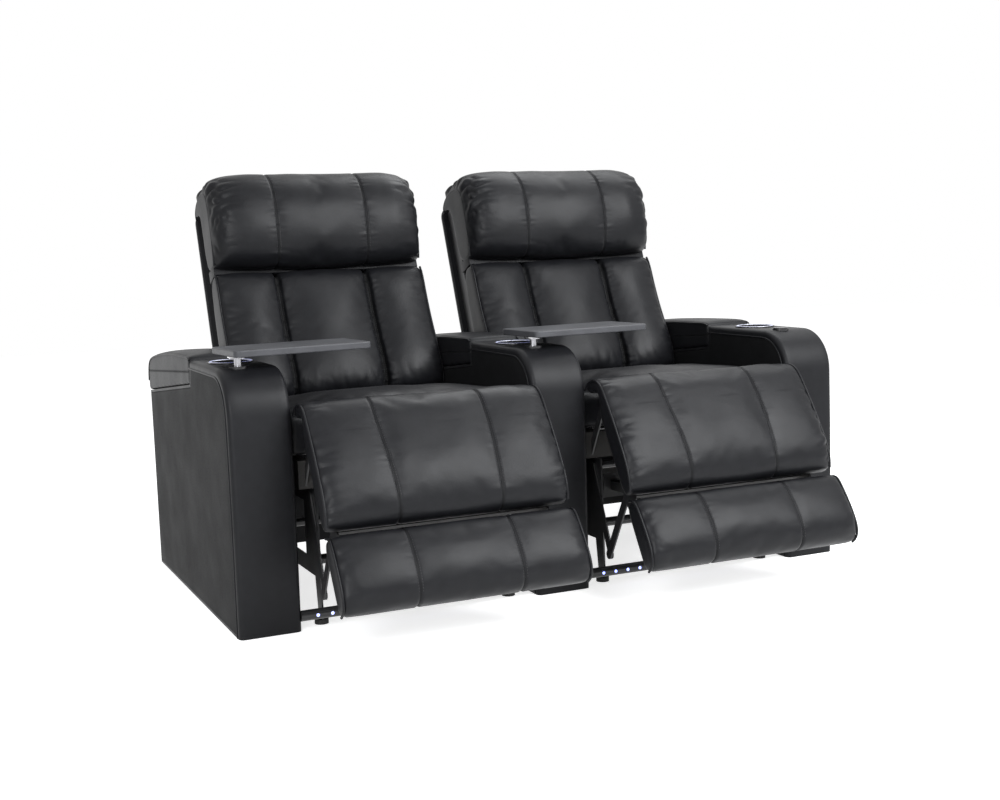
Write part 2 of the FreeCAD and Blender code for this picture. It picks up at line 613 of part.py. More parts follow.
STAY_Y = "leg_y + stay_back * cos(leg_angle) - stay_down * sin(leg_angle)"
STAY_Z = "leg_z - stay_back * sin(leg_angle) - stay_down * cos(leg_angle)"
LIFT_TILT = "atan(stay_back / stay_down) / 1 deg - leg_angle"
LIFT_LONG = "sqrt(stay_back ^ 2 + stay_down ^ 2)"
STAY_TILT = "atan((lift_y - leg_y) / (leg_z - lift_z)) / 1 deg"
STAY_LONG = "sqrt((lift_y - leg_y) ^ 2 + (leg_z - lift_z) ^ 2)"
CRANK_Y = "lift_y + crank_long * sin(crank_lead)"
CRANK_Z = "lift_z - crank_long * cos(crank_lead)"
ELBOW_Y = "%s + lift_y - leg_y" % STAY_Y
ELBOW_Z = "%s + lift_z - leg_z" % STAY_Z


def make_links(seat, x):
    """Lift links on a torque tube with the drive crank, and the stay links that hang from the brackets."""
    name = "lift_" + seat
    lift = [rod(name + "_tube", "x", "tube_r", "-link_x - plate", "link_x + plate", "lift_y", "lift_z"),
            strip(name + "_crank", ("-5", "5"), "crank_long", ("lift_y", "lift_z"), "crank_lead"),
            rod(name + "_crank_pin", "x", "pin_r", "-yoke_gap - yoke_plate", "yoke_gap + yoke_plate",
                CRANK_Y, CRANK_Z)]
    stays = []
    for side, way in SIDES.items():
        near = both(way, "link_x", "link_x + plate")
        far = both(way, "stay_x", "stay_x + plate")
        lift.append(strip("%s_link_%s" % (name, side), near, LIFT_LONG, ("lift_y", "lift_z"), LIFT_TILT))
        # the elbow is the linkage's open pivot: its pin runs in the stay link's hole with clearance
        lift.append(rod("%s_elbow_%s" % (name, side), "x", "pin_r", *both(way, "link_x", "stay_x + plate"),
                        ELBOW_Y, ELBOW_Z))
        part = "stay_%s_%s" % (seat, side)
        through = both(way, "stay_x - 1", "stay_x + plate + 1")
        stays.append(cut(part, strip(part + "_strip", far, STAY_LONG, (STAY_Y, STAY_Z), STAY_TILT), [
            rod(part + "_hole", "x", "pin_r + run_fit", *through, STAY_Y, STAY_Z),
            rod(part + "_elbow_hole", "x", "pin_r + elbow_play", *through, ELBOW_Y, ELBOW_Z),
        ]))
    place("lift_links_" + seat, joined(name, lift), x)
    place("stay_links_" + seat, grouped("stays_" + seat, stays), x)


def make_drive(seat, x):
    """The drive unit: the footrest motor with its rail, and the recline motor with its rod tube."""
    name = "drive_" + seat
    level = "rail_low + rail_tall / 2"
    rod_z = "hinge_z - lever_long * (1 + cos(lever_lead)) / 2"
    pieces = [
        box(name + "_rail", ("-rail_half", "rail_half"), ("rail_front", "rail_rear"),
            ("rail_low", "rail_low + rail_tall")),
        box(name + "_front_hanger", ("-rail_half", "rail_half"), ("cross_front_y - 10", "cross_front_y + 10"),
            ("cross_front_z + cross_r", "rail_low")),
        box(name + "_gearbox", ("-gear_half", "gear_half"), ("rail_rear", "rail_rear + gear_long"),
            (level + " - gear_half", level + " + gear_half")),
        box(name + "_rear_hanger", ("-rail_half", "rail_half"), ("rail_rear + gear_long", "cross_rear_y - cross_r"),
            ("cross_rear_z - 8", "cross_rear_z + 8")),
        rod(name + "_motor", "x", "motor_r", "gear_half", "gear_half + motor_long", "rail_rear + gear_long / 2",
            level),
        cut(name + "_rod_tube",
            joined(name + "_tube_weld", [
                rod(name + "_tube", "y", "rod_tube_r", "rod_tube_front", "rod_tube_rear", "0", rod_z),
                box(name + "_tube_hanger", ("-rail_half", "rail_half"),
                    ("frame_rear - rail - 20", "frame_rear - rail"), (rod_z, "frame_bottom + 30")),
            ]),
            rod(name + "_bore", "y", "rod_r + run_fit", "rod_tube_front + 40", "rod_tube_rear + 20", "0", rod_z)),
        rod(name + "_recline_motor", "y", "motor_r - 4", "rod_tube_front - motor_long + 10", "rod_tube_front", "0",
            rod_z),
    ]
    place("drive_unit_" + seat, grouped(name, pieces), x)

    name = "carriage_" + seat
    half_long = "carriage_long / 2"
    block = [box(name + "_block", ("-carriage_half", "carriage_half"), (CRANK_Y + " - " + half_long,
                                                                        CRANK_Y + " + " + half_long),
                 ("rail_low + 4", "carriage_top"))]
    for side, way in SIDES.items():
        block.append(box("%s_yoke_%s" % (name, side), both(way, "yoke_gap", "yoke_gap + yoke_plate"),
                         (CRANK_Y + " - 22", CRANK_Y + " + 22"), ("carriage_top", "yoke_top")))
    place("drive_carriage_" + seat, cut(name, joined(name + "_weld", block), [
        box(name + "_channel", ("-rail_half - 0.2", "rail_half + 0.2"), (CRANK_Y + " - carriage_long",
                                                                         CRANK_Y + " + carriage_long"),
            ("rail_low", "rail_low + rail_tall + 0.2")),
        box(name + "_slot", ("-yoke_gap - yoke_plate - 1", "yoke_gap + yoke_plate + 1"),
            (CRANK_Y + " - yoke_slot / 2", CRANK_Y + " + yoke_slot / 2"), ("yoke_slot_low", "yoke_slot_top")),
    ]), x)

    name = "recline_rod_" + seat
    lever_y = "hinge_y + lever_long * sin(lever_lead)"
    fork = joined(name + "_weld", [
        rod(name + "_bar", "y", "rod_r", "rod_start", lever_y + " - 20", "0", rod_z),
        box(name + "_fork", ("-9", "9"), (lever_y + " - 23", lever_y + " + 11"), (rod_z + " - 11", rod_z + " + 11")),
    ])
    place(name, cut(name + "_body", fork, [
        box(name + "_gap", ("-4.5", "4.5"), (lever_y + " - 13", lever_y + " + 12"),
            (rod_z + " - 12", rod_z + " + 12")),
        box(name + "_slot", ("-10", "10"), (lever_y + " - lever_pin_r - 0.6", lever_y + " + lever_pin_r + 0.6"),
            (rod_z + " - lever_pin_r - 3", rod_z + " + lever_pin_r + 3")),
    ]), x)


# Back: modelled upright about the recline hinge, then leaned back; Y to the rear, Z up the back

def make_back_frame(seat, x):
    """Steel back frame: stiles, rails, hinge plates on the stiles and the recline lever under the bottom rail."""
    name = "back_" + seat
    deep = ("stile_front", "stile_front + stile_deep")
    inner = ("-stile_half + stile", "stile_half - stile")
    pieces = [
        box(name + "_bottom_rail", inner, deep, ("stile_low", "stile_low + 40")),
        box(name + "_middle_rail", inner, deep, ("back_low + 270", "back_low + 300")),
        box(name + "_top_rail", inner, deep, ("stile_top - 30", "stile_top")),
    ]
    for side, way in SIDES.items():
        pieces.append(box("%s_stile_%s" % (name, side), both(way, "stile_half - stile", "stile_half"), deep,
                          ("stile_low", "stile_top")))
        wide = both(way, "stile_half", "stile_half + plate")
        part = "%s_hinge_%s" % (name, side)
        weld = joined(part + "_weld", [
            plate(part + "_plate", [("-boss_r + 1", "-6"), ("-boss_r + 1", "8"), ("stile_front + 2", "stile_low + 2"),
                                    ("stile_front + 2", "stile_low + 96"),
                                    ("stile_front + stile_deep - 4", "stile_low + 96"),
                                    ("stile_front + stile_deep - 4", "stile_low"), ("boss_r", "-10")], wide),
            rod(part + "_boss", "x", "boss_r", *wide, "0", "0"),
        ])
        pieces.append(cut(part, weld, rod(part + "_hole", "x", "pin_r + run_fit",
                                          *both(way, "stile_half - 1", "stile_half + plate + 1"), "0", "0")))
    tip_y = "lever_long * sin(lever_lead + back_lean)"
    tip_z = "-lever_long * cos(lever_lead + back_lean)"
    pieces.append(joined(name + "_lever", [
        plate(name + "_lever_plate", [("stile_front", "stile_low"), ("stile_front + stile_deep - 12", "stile_low"),
                                      (tip_y + " + lever_pin_r + 6", tip_z), (tip_y + " - lever_pin_r - 6", tip_z)],
              ("-4", "4")),
        rod(name + "_lever_boss", "x", "lever_pin_r + 6", "-4", "4", tip_y, tip_z),
        rod(name + "_lever_pin", "x", "lever_pin_r", "-9", "9", tip_y, tip_z),
    ]))
    place("back_frame_" + seat, grouped(name, pieces), x, "hinge_y", "hinge_z", "back_lean")


def make_back_panel(seat, x):
    """The covered rear panel of the back, with rounded upper corners."""
    name = "back_panel_" + seat
    near = "stile_front + stile_deep + panel_gap"
    board = plate(name + "_board", [(near, "panel_low"), (near + " + panel_thick", "panel_low"),
                                    (near + " + panel_thick", "panel_top"), (near, "panel_top")],
                  ("-panel_half", "panel_half"))

    def side_edge(edge):
        return edge.BoundBox.YLength > 1 and edge.BoundBox.XLength < 0.1 and edge.CenterOfMass.z > 0
    rounded(name + "_corners", board, "roll_r - 20", side_edge)
    place(name, board, x, "hinge_y", "hinge_z", "back_lean")


def make_back_soft(seat, x):
    """The three-channel back cushion and the head pillow above it."""
    low, top, rear = size("back_low"), size("back_top"), size("stile_front") - 0.3
    edge, lumbar, crown = size("back_edge"), size("back_lumbar"), size("back_crown")

    def back(swell):
        face = edge - 26 + 26 * swell + (crown - size("back_seam_dip")) * swell
        draw = 6 * (1 - swell)
        return [(rear, low + draw), (rear, top - draw), (-(face - 46), top - draw),
                ((-(face - 14), top - draw - 8), (-face, top - draw - 32)),
                ((-(face + 0.4 * lumbar), 0.55 * top), (-(face + lumbar), low + 46)),
                ((-(face + lumbar - 8), low + draw + 12), (-(face + lumbar - 34), low + draw))]

    low_end, high_end = size("pillow_low"), size("pillow_top")
    wrap, brow, bulge = size("pillow_wrap"), size("pillow_edge"), size("pillow_crown")
    over = size("stile_top") + 14

    def pillow(swell):
        draw = 10 * (1 - swell)
        face = brow + bulge * swell
        high = high_end - draw
        return [(rear, low_end + draw), (rear, over), (wrap - draw, over),
                ((wrap - draw + 4, (over + high) / 2), (wrap - draw - 18, high - 8)),
                ((0, high), (-0.45 * face, high)),
                ((-0.86 * face, high - 34), (-face, 0.45 * low_end + 0.55 * high)),
                ((-face, low_end + 0.22 * (high - low_end)), (-face + 26, low_end + draw + 14)),
                ((-face + 44, low_end + draw + 3), (-face + 70, low_end + draw))]
    seams = [-size("seam_x"), size("seam_x")]
    half = size("cushion_half")
    dip = 1 - size("back_seam_dip") / (26 + crown - size("back_seam_dip"))
    place("back_cushion_" + seat, padded("back_cushion_%s_form" % seat, channel_stations(half, seams, 0, dip), back),
          x, "hinge_y", "hinge_z", "back_lean")
    place("head_pillow_" + seat, padded("head_pillow_%s_form" % seat,
                                        channel_stations(half, seams, 0, 1 - size("seam_dip") / bulge), pillow),
          x, "hinge_y", "hinge_z", "back_lean")


def make_skirts():
    """A covered board behind each seat, between the arms."""
    skirts = []
    for seat, x in SEATS.items():
        skirts.append(box("skirt_" + seat, ("(%s) - skirt_half" % x, "(%s) + skirt_half" % x),
                          ("side_rear", "side_rear + skirt_thick"), ("skirt_low", "skirt_top")))
    place("rear_skirts", grouped("skirt_set", skirts))


def make_light_bars():
    """A dark bar across each opening near the floor, with a row of small lenses in its front."""
    bars, lenses = [], []
    count = int(size("led_spot_count"))
    face = "led_setback - led_r"
    for seat, x in SEATS.items():
        wells = []
        for number in range(count):
            spot = "(%s) + (%s) * led_spot_pitch" % (x, number - (count - 1) / 2)
            name = "led_%s_%d" % (seat, number)
            wells.append(rod(name + "_well", "y", "led_spot_r", face + " - 1", face + " + 4", spot, "led_height"))
            lenses.append(rod(name, "y", "led_spot_r", face + " - 0.6", face + " + 4", spot, "led_height"))
        bar = rod("led_bar_" + seat, "x", "led_r", "(%s) - seat_gap / 2" % x, "(%s) + seat_gap / 2" % x,
                  "led_setback", "led_height")
        bars.append(cut("led_bar_%s_body" % seat, bar, wells))
    place("led_bars", grouped("led_bar_set", bars))
    place("led_lenses", grouped("led_lens_set", lenses))


def write_parts():
    """Check every object, then write one STEP file for each sub-part."""
    doc.recompute()
    for thing in doc.Objects:
        if "Invalid" in thing.State or "Error" in thing.State:
            raise RuntimeError("%s did not compute: %s" % (thing.Name, thing.State))
    os.makedirs("parts", exist_ok=True)
    for label, thing in NODES.items():
        if thing.Shape.isNull() or not thing.Shape.isValid() or not thing.Shape.Solids:
            raise RuntimeError("%s has no valid solid" % label)
    for label, thing in NODES.items():
        thing.Shape.exportStep("parts/%s.step" % label)
    print("%d sub-parts" % len(NODES))


for arm_name, arm_x in ARMS.items():
    make_arm(arm_name, arm_x)
    make_lid(arm_name, arm_x)
make_lid_hinges()
make_cups()
make_sockets()
make_tray("left", ARMS["left"])
make_tray("right", ARMS["centre"])
make_controls()
make_skirts()
make_light_bars()
make_glides()
for seat_name, seat_x in SEATS.items():
    for make in (make_frame, make_springs, make_seat_cushion, make_ears, make_base, make_leg_brackets,
                 make_leg_boards, make_leg_pads, make_links, make_drive, make_back_frame, make_back_panel,
                 make_back_soft):
        make(seat_name, seat_x)
write_parts()
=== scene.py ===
"""A two-seat cinema recliner row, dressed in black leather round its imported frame."""
import math

import bmesh
import bpy
from mathutils import Matrix, Vector, noise
from mathutils.bvhtree import BVHTree


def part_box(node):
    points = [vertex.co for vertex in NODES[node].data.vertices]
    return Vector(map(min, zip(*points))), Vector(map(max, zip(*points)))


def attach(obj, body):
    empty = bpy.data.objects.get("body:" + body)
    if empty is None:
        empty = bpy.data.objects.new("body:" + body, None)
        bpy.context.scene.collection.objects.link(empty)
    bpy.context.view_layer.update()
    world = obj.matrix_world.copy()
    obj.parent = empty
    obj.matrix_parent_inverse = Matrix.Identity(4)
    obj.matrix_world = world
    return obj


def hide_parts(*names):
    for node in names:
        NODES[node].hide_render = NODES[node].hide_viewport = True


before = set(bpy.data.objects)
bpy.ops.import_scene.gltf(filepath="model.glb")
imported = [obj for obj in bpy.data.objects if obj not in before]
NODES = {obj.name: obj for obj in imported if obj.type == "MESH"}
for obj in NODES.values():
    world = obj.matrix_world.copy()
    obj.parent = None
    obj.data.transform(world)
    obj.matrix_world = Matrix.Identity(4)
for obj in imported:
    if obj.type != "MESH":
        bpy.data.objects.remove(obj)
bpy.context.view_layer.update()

bl_info = {
    "name": "Cinema recliner row",
    "version": (1, 0, 0),
    "blender": (4, 5, 0),
    "location": "View3D > Sidebar > Recliner",
    "description": "Upholstery, trim and studio for a two-seat cinema recliner row",
    "category": "Object",
}

SEATS = {"left": -0.385, "right": 0.385}
ARMS = {"left": -0.770, "centre": 0.0, "right": 0.770}
FRONT = -0.470          # the arms' front face, along Y
BACK_HINGE = Vector((0, 0.198, 0.405))
LEG_HINGE = Vector((0, -0.495, 0.490))
CHANNEL = 0.131         # the sewn seams on each cushion, either side of its middle
FOOT_SEAM = CHANNEL - 0.004
ARM_HALF = 0.075        # half an arm's width
CUP_AT = 0.255          # the cup holders' centre, back from the arms' front
CUP_WELL = 0.0491
TRAY_AT = (-0.019, 0.104)       # the tray sockets' centre, across and back in each arm
THREAD_ROW = 0.0052     # from a seam to the stitches beside it
SEAM_CORD = 0.0010


# Properties

class ReclinerShape(bpy.types.PropertyGroup):
    """Sizes of the upholstery."""
    back_lean: bpy.props.FloatProperty(name="Back lean", description="How far the back leans from upright",
                                       default=math.radians(20), subtype="ANGLE")
    leg_angle: bpy.props.FloatProperty(name="Legrest angle", default=math.radians(31), subtype="ANGLE",
                                       description="How far the legrest is raised from hanging")
    half_seat: bpy.props.FloatProperty(name="Half seat width", default=0.305, unit="LENGTH",
                                       description="From a seat's middle to its cushion's side")
    seam_depth: bpy.props.FloatProperty(name="Seam depth", description="How deep a sewn seam is drawn in",
                                        default=0.0045, unit="LENGTH")
    weave_size: bpy.props.FloatProperty(name="Remesh size", default=0.0065, unit="LENGTH",
                                        description="Mesh size of a padded piece before its finish")
    arm_edge: bpy.props.FloatProperty(name="Arm edge", description="Radius of the arm's padded edges",
                                      default=0.013, unit="LENGTH")
    welt: bpy.props.FloatProperty(name="Welt radius", description="Radius of the piping along a pad's edge",
                                  default=0.0032, unit="LENGTH")
    stitch_pitch: bpy.props.FloatProperty(name="Stitch pitch", description="From one stitch to the next",
                                          default=0.0062, unit="LENGTH")


class ReclinerColours(bpy.types.PropertyGroup):
    """Colours of the finishes."""
    leather: bpy.props.FloatVectorProperty(name="Leather", description="Base colour of the leather",
                                           default=(0.0064, 0.0066, 0.0078), subtype="COLOR")
    tray: bpy.props.FloatVectorProperty(name="Tray", description="Colour of the trays' laminate",
                                        default=(0.052, 0.053, 0.058), subtype="COLOR")
    steel: bpy.props.FloatVectorProperty(name="Black steel", description="Colour of the painted steel",
                                         default=(0.012, 0.012, 0.013), subtype="COLOR")
    # Also the colour of the painted rim glint on the cup holders.
    light: bpy.props.FloatVectorProperty(name="Lights", description="Colour of the small lights",
                                         default=(0.30, 0.36, 1.0), subtype="COLOR")


def shape():
    return bpy.context.scene.recliner_shape


def colours():
    return bpy.context.scene.recliner_colours


# Mesh helpers

def placed(name, data):
    """A new object in the scene that shows data."""
    piece = bpy.data.objects.new(name, data)
    bpy.context.scene.collection.objects.link(piece)
    return piece


def to_object(bm, name, material=None, smooth=True):
    """Turn a finished bmesh into an object at the origin."""
    mesh = bpy.data.meshes.new(name)
    bm.to_mesh(mesh)
    bm.free()
    piece = placed(name, mesh)
    if material:
        mesh.materials.append(material)
    for face in mesh.polygons:
        face.use_smooth = smooth
    return piece


def bake(piece):
    """Apply every modifier of a piece to its mesh."""
    graph = bpy.context.evaluated_depsgraph_get()
    mesh = bpy.data.meshes.new_from_object(piece.evaluated_get(graph), preserve_all_data_layers=True,
                                           depsgraph=graph)
    old = piece.data
    piece.modifiers.clear()
    piece.data = mesh
    bpy.data.meshes.remove(old)
    return piece


def refine(piece, levels):
    """Subdivide a piece and keep the result."""
    sub = piece.modifiers.new("Subdivision", "SUBSURF")
    sub.levels = sub.render_levels = levels
    return bake(piece)


def soften(piece, width, segments):
    """Round a piece's edges with a bevel that stays live."""
    bevel = piece.modifiers.new("Bevel", "BEVEL")
    bevel.width = width
    bevel.segments = segments
    bevel.limit_method = "ANGLE"
    bevel.angle_limit = math.radians(30)


def block(bm, low, high):
    """A box between two corners, added to bm; returns its vertices."""
    made = bmesh.ops.create_cube(bm, size=1.0)["verts"]
    low, high = Vector(low), Vector(high)
    bmesh.ops.scale(bm, vec=high - low, verts=made)
    bmesh.ops.translate(bm, vec=(low + high) / 2, verts=made)
    return made


def drum(bm, centre, radius, length, segments=32, end_radius=None):
    """A closed upright cylinder about centre, added to bm."""
    bmesh.ops.create_cone(bm, cap_ends=True, segments=segments, radius1=radius,
                          radius2=radius if end_radius is None else end_radius, depth=length,
                          matrix=Matrix.Translation(centre))


def ring(bm, centre, radius, thick, segments=64, around=8):
    """A flat-lying torus added to bm by spinning a small circle."""
    before = set(bm.verts)
    upright = Matrix.Translation((radius, 0, 0)) @ Matrix.Rotation(math.radians(90), 4, "X")
    bmesh.ops.create_circle(bm, segments=around, radius=thick, matrix=upright)
    fresh = [v for v in bm.verts if v not in before]
    edges = list({e for v in fresh for e in v.link_edges})
    bmesh.ops.spin(bm, geom=fresh + edges, cent=(0, 0, 0), axis=(0, 0, 1), angle=math.tau, steps=segments,
                   use_merge=True)
    verts = [v for v in bm.verts if v not in before]
    bmesh.ops.recalc_face_normals(bm, faces=list({f for v in verts for f in v.link_faces}))
    bmesh.ops.translate(bm, vec=centre, verts=verts)


def cords(name, paths, radius):
    """Round leather cords swept along paths of points, joined as one piece with their ends closed."""
    bm = bmesh.new()
    for points in paths:
        curve = bpy.data.curves.new(name, "CURVE")
        curve.dimensions = "3D"
        curve.bevel_depth = radius
        curve.bevel_resolution = 3
        curve.use_fill_caps = True
        curve.resolution_u = 3
        line = curve.splines.new("NURBS")
        line.points.add(len(points) - 1)
        for spot, point in zip(line.points, points):
            spot.co = (*point, 1)
        line.order_u = min(4, len(points))
        line.use_endpoint_u = True
        holder = placed(name + "_line", curve)
        graph = bpy.context.evaluated_depsgraph_get()
        mesh = bpy.data.meshes.new_from_object(holder.evaluated_get(graph))
        bm.from_mesh(mesh)
        bpy.data.objects.remove(holder)
        bpy.data.curves.remove(curve)
        bpy.data.meshes.remove(mesh)
    return to_object(bm, name, leather())


def lean(hinge, angle):
    """From an upright local frame at a hinge to the row frame, tipped back by angle."""
    return Matrix.Translation(hinge) @ Matrix.Rotation(-angle, 4, "X")


def smoothstep(low, high, value):
    """Nought below low, one above high and smooth between."""
    t = min(1.0, max(0.0, (value - low) / (high - low)))
    return t * t * (3 - 2 * t)


# Padded pieces: a cage lofted along X, subdivided, remeshed and blown up as cloth, then sewn

def cage(name, outline, stations, crease_at=()):
    """Loft an outline of (y, z, draw_y, draw_z) along stations of (x, swell)."""
    bm = bmesh.new()
    crease = bm.edges.layers.float.new("crease_edge")

    def spots(x, swell):
        return [Vector((x, y + (1 - swell) * dy, z + (1 - swell) * dz)) for y, z, dy, dz in outline]
    row = [bm.verts.new(spot) for spot in spots(*stations[0])]
    edges = [bm.edges.new((row[i - 1], row[i])) for i in range(len(row))]
    first = list(edges)
    for x, swell in stations[1:]:
        made = bmesh.ops.extrude_edge_only(bm, edges=edges)["geom"]
        fresh = {v.co.to_tuple(6): v for v in made if isinstance(v, bmesh.types.BMVert)}
        row = [fresh[v.co.to_tuple(6)] for v in row]
        for vert, spot in zip(row, spots(x, swell)):
            vert.co = spot
        edges = [bm.edges.get((row[i - 1], row[i])) for i in range(len(row))]
        if any(abs(x - at) < 1e-6 for at in crease_at):
            for edge in edges:
                edge[crease] = 0.85
    for loop in (first, edges):
        bmesh.ops.triangulate(bm, faces=bmesh.ops.contextual_create(bm, geom=loop)["faces"])
        for edge in loop:
            edge[crease] = 0.7
    bmesh.ops.recalc_face_normals(bm, faces=bm.faces)
    return to_object(bm, name)


def crowned(half, seams, dip, end=0.0, power=2.6):
    """Stations across a pad: drawn in at the ends, dipped at each seam and full between."""
    marks = [-half] + list(seams) + [half]
    found = [(-half, end)]
    for low, high in zip(marks, marks[1:]):
        wide = high - low
        for share in (0.07, 0.2, 0.5, 0.8, 0.93):
            u = 2 * share - 1
            full = (1 - abs(u) ** power) ** 0.5
            left = end if low == -half else dip
            right = end if high == half else dip
            base = left if share < 0.5 else right
            found.append((low + share * wide, base + (1 - base) * full))
        found.append((high, end if high == half else dip))
    return found


def plump(piece, hold, pressure, cap):
    """Blow a remeshed pad up as cloth with the sewn points held, and keep the result within cap."""
    tension, steps = 14.0, 20
    rest = [v.co.copy() for v in piece.data.vertices]
    group = piece.vertex_groups.new(name="sewn")
    for index, co in enumerate(rest):
        weight = hold(co)
        if weight > 0:
            group.add([index], min(1.0, weight), "REPLACE")
    cloth = piece.modifiers.new("Cloth", "CLOTH")
    cloth.settings.quality = 4
    cloth.settings.mass = 0.25
    cloth.settings.tension_stiffness = cloth.settings.compression_stiffness = tension
    cloth.settings.shear_stiffness = tension * 0.5
    cloth.settings.bending_stiffness = 2.5
    cloth.settings.air_damping = 3
    cloth.settings.use_pressure = True
    cloth.settings.uniform_pressure_force = pressure
    cloth.settings.shrink_min = -0.004
    cloth.settings.vertex_group_mass = "sewn"
    cloth.settings.effector_weights.gravity = 0
    cloth.collision_settings.use_collision = False
    cloth.point_cache.frame_start = 1
    cloth.point_cache.frame_end = steps
    scene = bpy.context.scene
    for step in range(1, steps + 1):
        scene.frame_set(step)
    bake(piece)
    scene.frame_set(1)
    for vert, co in zip(piece.data.vertices, rest):
        move = vert.co - co
        if move.length > cap:
            vert.co = co + move * (cap / move.length)
    piece.vertex_groups.clear()


def remesh(piece, size):
    """Turn a cage into an even closed mesh."""
    step = piece.modifiers.new("Remesh", "REMESH")
    step.mode = "VOXEL"
    step.voxel_size = size
    return bake(piece)


def relax(piece, repeat):
    """Even out a mesh a little."""
    bm = bmesh.new()
    bm.from_mesh(piece.data)
    for _ in range(repeat):
        bmesh.ops.smooth_vert(bm, verts=bm.verts, factor=0.5, use_axis_x=True, use_axis_y=True,
                              use_axis_z=True)
    bm.to_mesh(piece.data)
    bm.free()
    return piece


def work(piece, height):
    """Push each point along its normal by height(co, normal), which also gives how near a seam it lies."""
    mesh = piece.data
    normals = [v.normal.copy() for v in mesh.vertices]
    marks = [0.0] * len(mesh.vertices)
    for index, vert in enumerate(mesh.vertices):
        push, mark = height(vert.co, normals[index])
        vert.co += normals[index] * push
        marks[index] = mark
    # The marks are kept as the seam attribute, from which the leather paints shade into the sewn grooves.
    layer = mesh.attributes.get("seam") or mesh.attributes.new("seam", "FLOAT", "POINT")
    layer.data.foreach_set("value", marks)
    mesh.update()
    return piece


def folds(co, along, across, seed=0.0):
    """Rounded ridges with sharp valleys, running along X: along and across are ridges per metre."""
    spot = Vector((co.x * along + seed, co.y * across, co.z * across))
    return abs(noise.noise(spot)) * 2 - 0.35


def gathers(co, half, reach, start, along, across, seed):
    """Folds in the leather beside a pad's side edges, from start in from the edge and fading over reach."""
    edge = half - abs(co.x)
    return math.exp(-(edge / reach) ** 2) * smoothstep(0.0, start, edge) * folds(co, along, across, seed)


def seam_push(co, seams, depth, pucker, seed, wide=0.0031):
    """Depth and mark of the sewn seams that run across a pad at each x, with small puckers beside them."""
    push, mark = 0.0, 0.0
    for at in seams:
        gap = abs(co.x - at)
        push -= depth * math.exp(-(gap / wide) ** 2)
        near = math.exp(-(gap / 0.022) ** 2) * smoothstep(0.0, 0.006, gap)
        push += pucker * near * folds(co, 8.0, 62.0, seed)
        # The mark lies along the seam's groove; the leather paints shade from it.
        mark = max(mark, math.exp(-(gap / (0.8 * wide)) ** 2))
    return push, mark


def copy_to_seats(piece, name, bodies, nodes, place):
    """Place one finished piece in both seats and let each ride on its own body."""
    for seat, x in SEATS.items():
        mesh = piece.data.copy()
        mesh.transform(Matrix.Translation((x, 0, 0)) @ place)
        twin = placed("%s_%s" % (name, seat), mesh)
        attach(twin, bodies % seat if "%s" in bodies else bodies)
        if nodes:
            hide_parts(*[n % seat for n in nodes])
    bpy.data.objects.remove(piece)


# Finishes

def group_socket(group, name, way, default=None, low=None, high=None):
    """Add a number socket to a group's interface."""
    made = group.interface.new_socket(name=name, in_out=way, socket_type="NodeSocketFloat")
    if default is not None:
        made.default_value = default
    if low is not None:
        made.min_value = low
    if high is not None:
        made.max_value = high
    return made


def node(tree, kind, **values):
    """Add a node and set its named inputs and properties."""
    made = tree.nodes.new(kind)
    for name, value in values.items():
        if hasattr(made, name):
            setattr(made, name, value)
        else:
            made.inputs[name.replace("_", " ")].default_value = value
    return made


def math_node(tree, operation, a, b, clamp=False):
    """Combine two numbers or sockets; returns the result's socket."""
    made = tree.nodes.new("ShaderNodeMath")
    made.operation = operation
    made.use_clamp = clamp
    for socket, value in zip(made.inputs, (a, b)):
        if isinstance(value, (int, float)):
            socket.default_value = value
        else:
            tree.links.new(value, socket)
    return made.outputs[0]


def fade(tree, value, low, high, to_low=0.0, to_high=1.0):
    """Map a socket's value from one range to another; returns the result's socket."""
    made = tree.nodes.new("ShaderNodeMapRange")
    made.inputs["From Min"].default_value = low
    made.inputs["From Max"].default_value = high
    made.inputs["To Min"].default_value = to_low
    made.inputs["To Max"].default_value = to_high
    tree.links.new(value, made.inputs["Value"])
    return made.outputs["Result"]


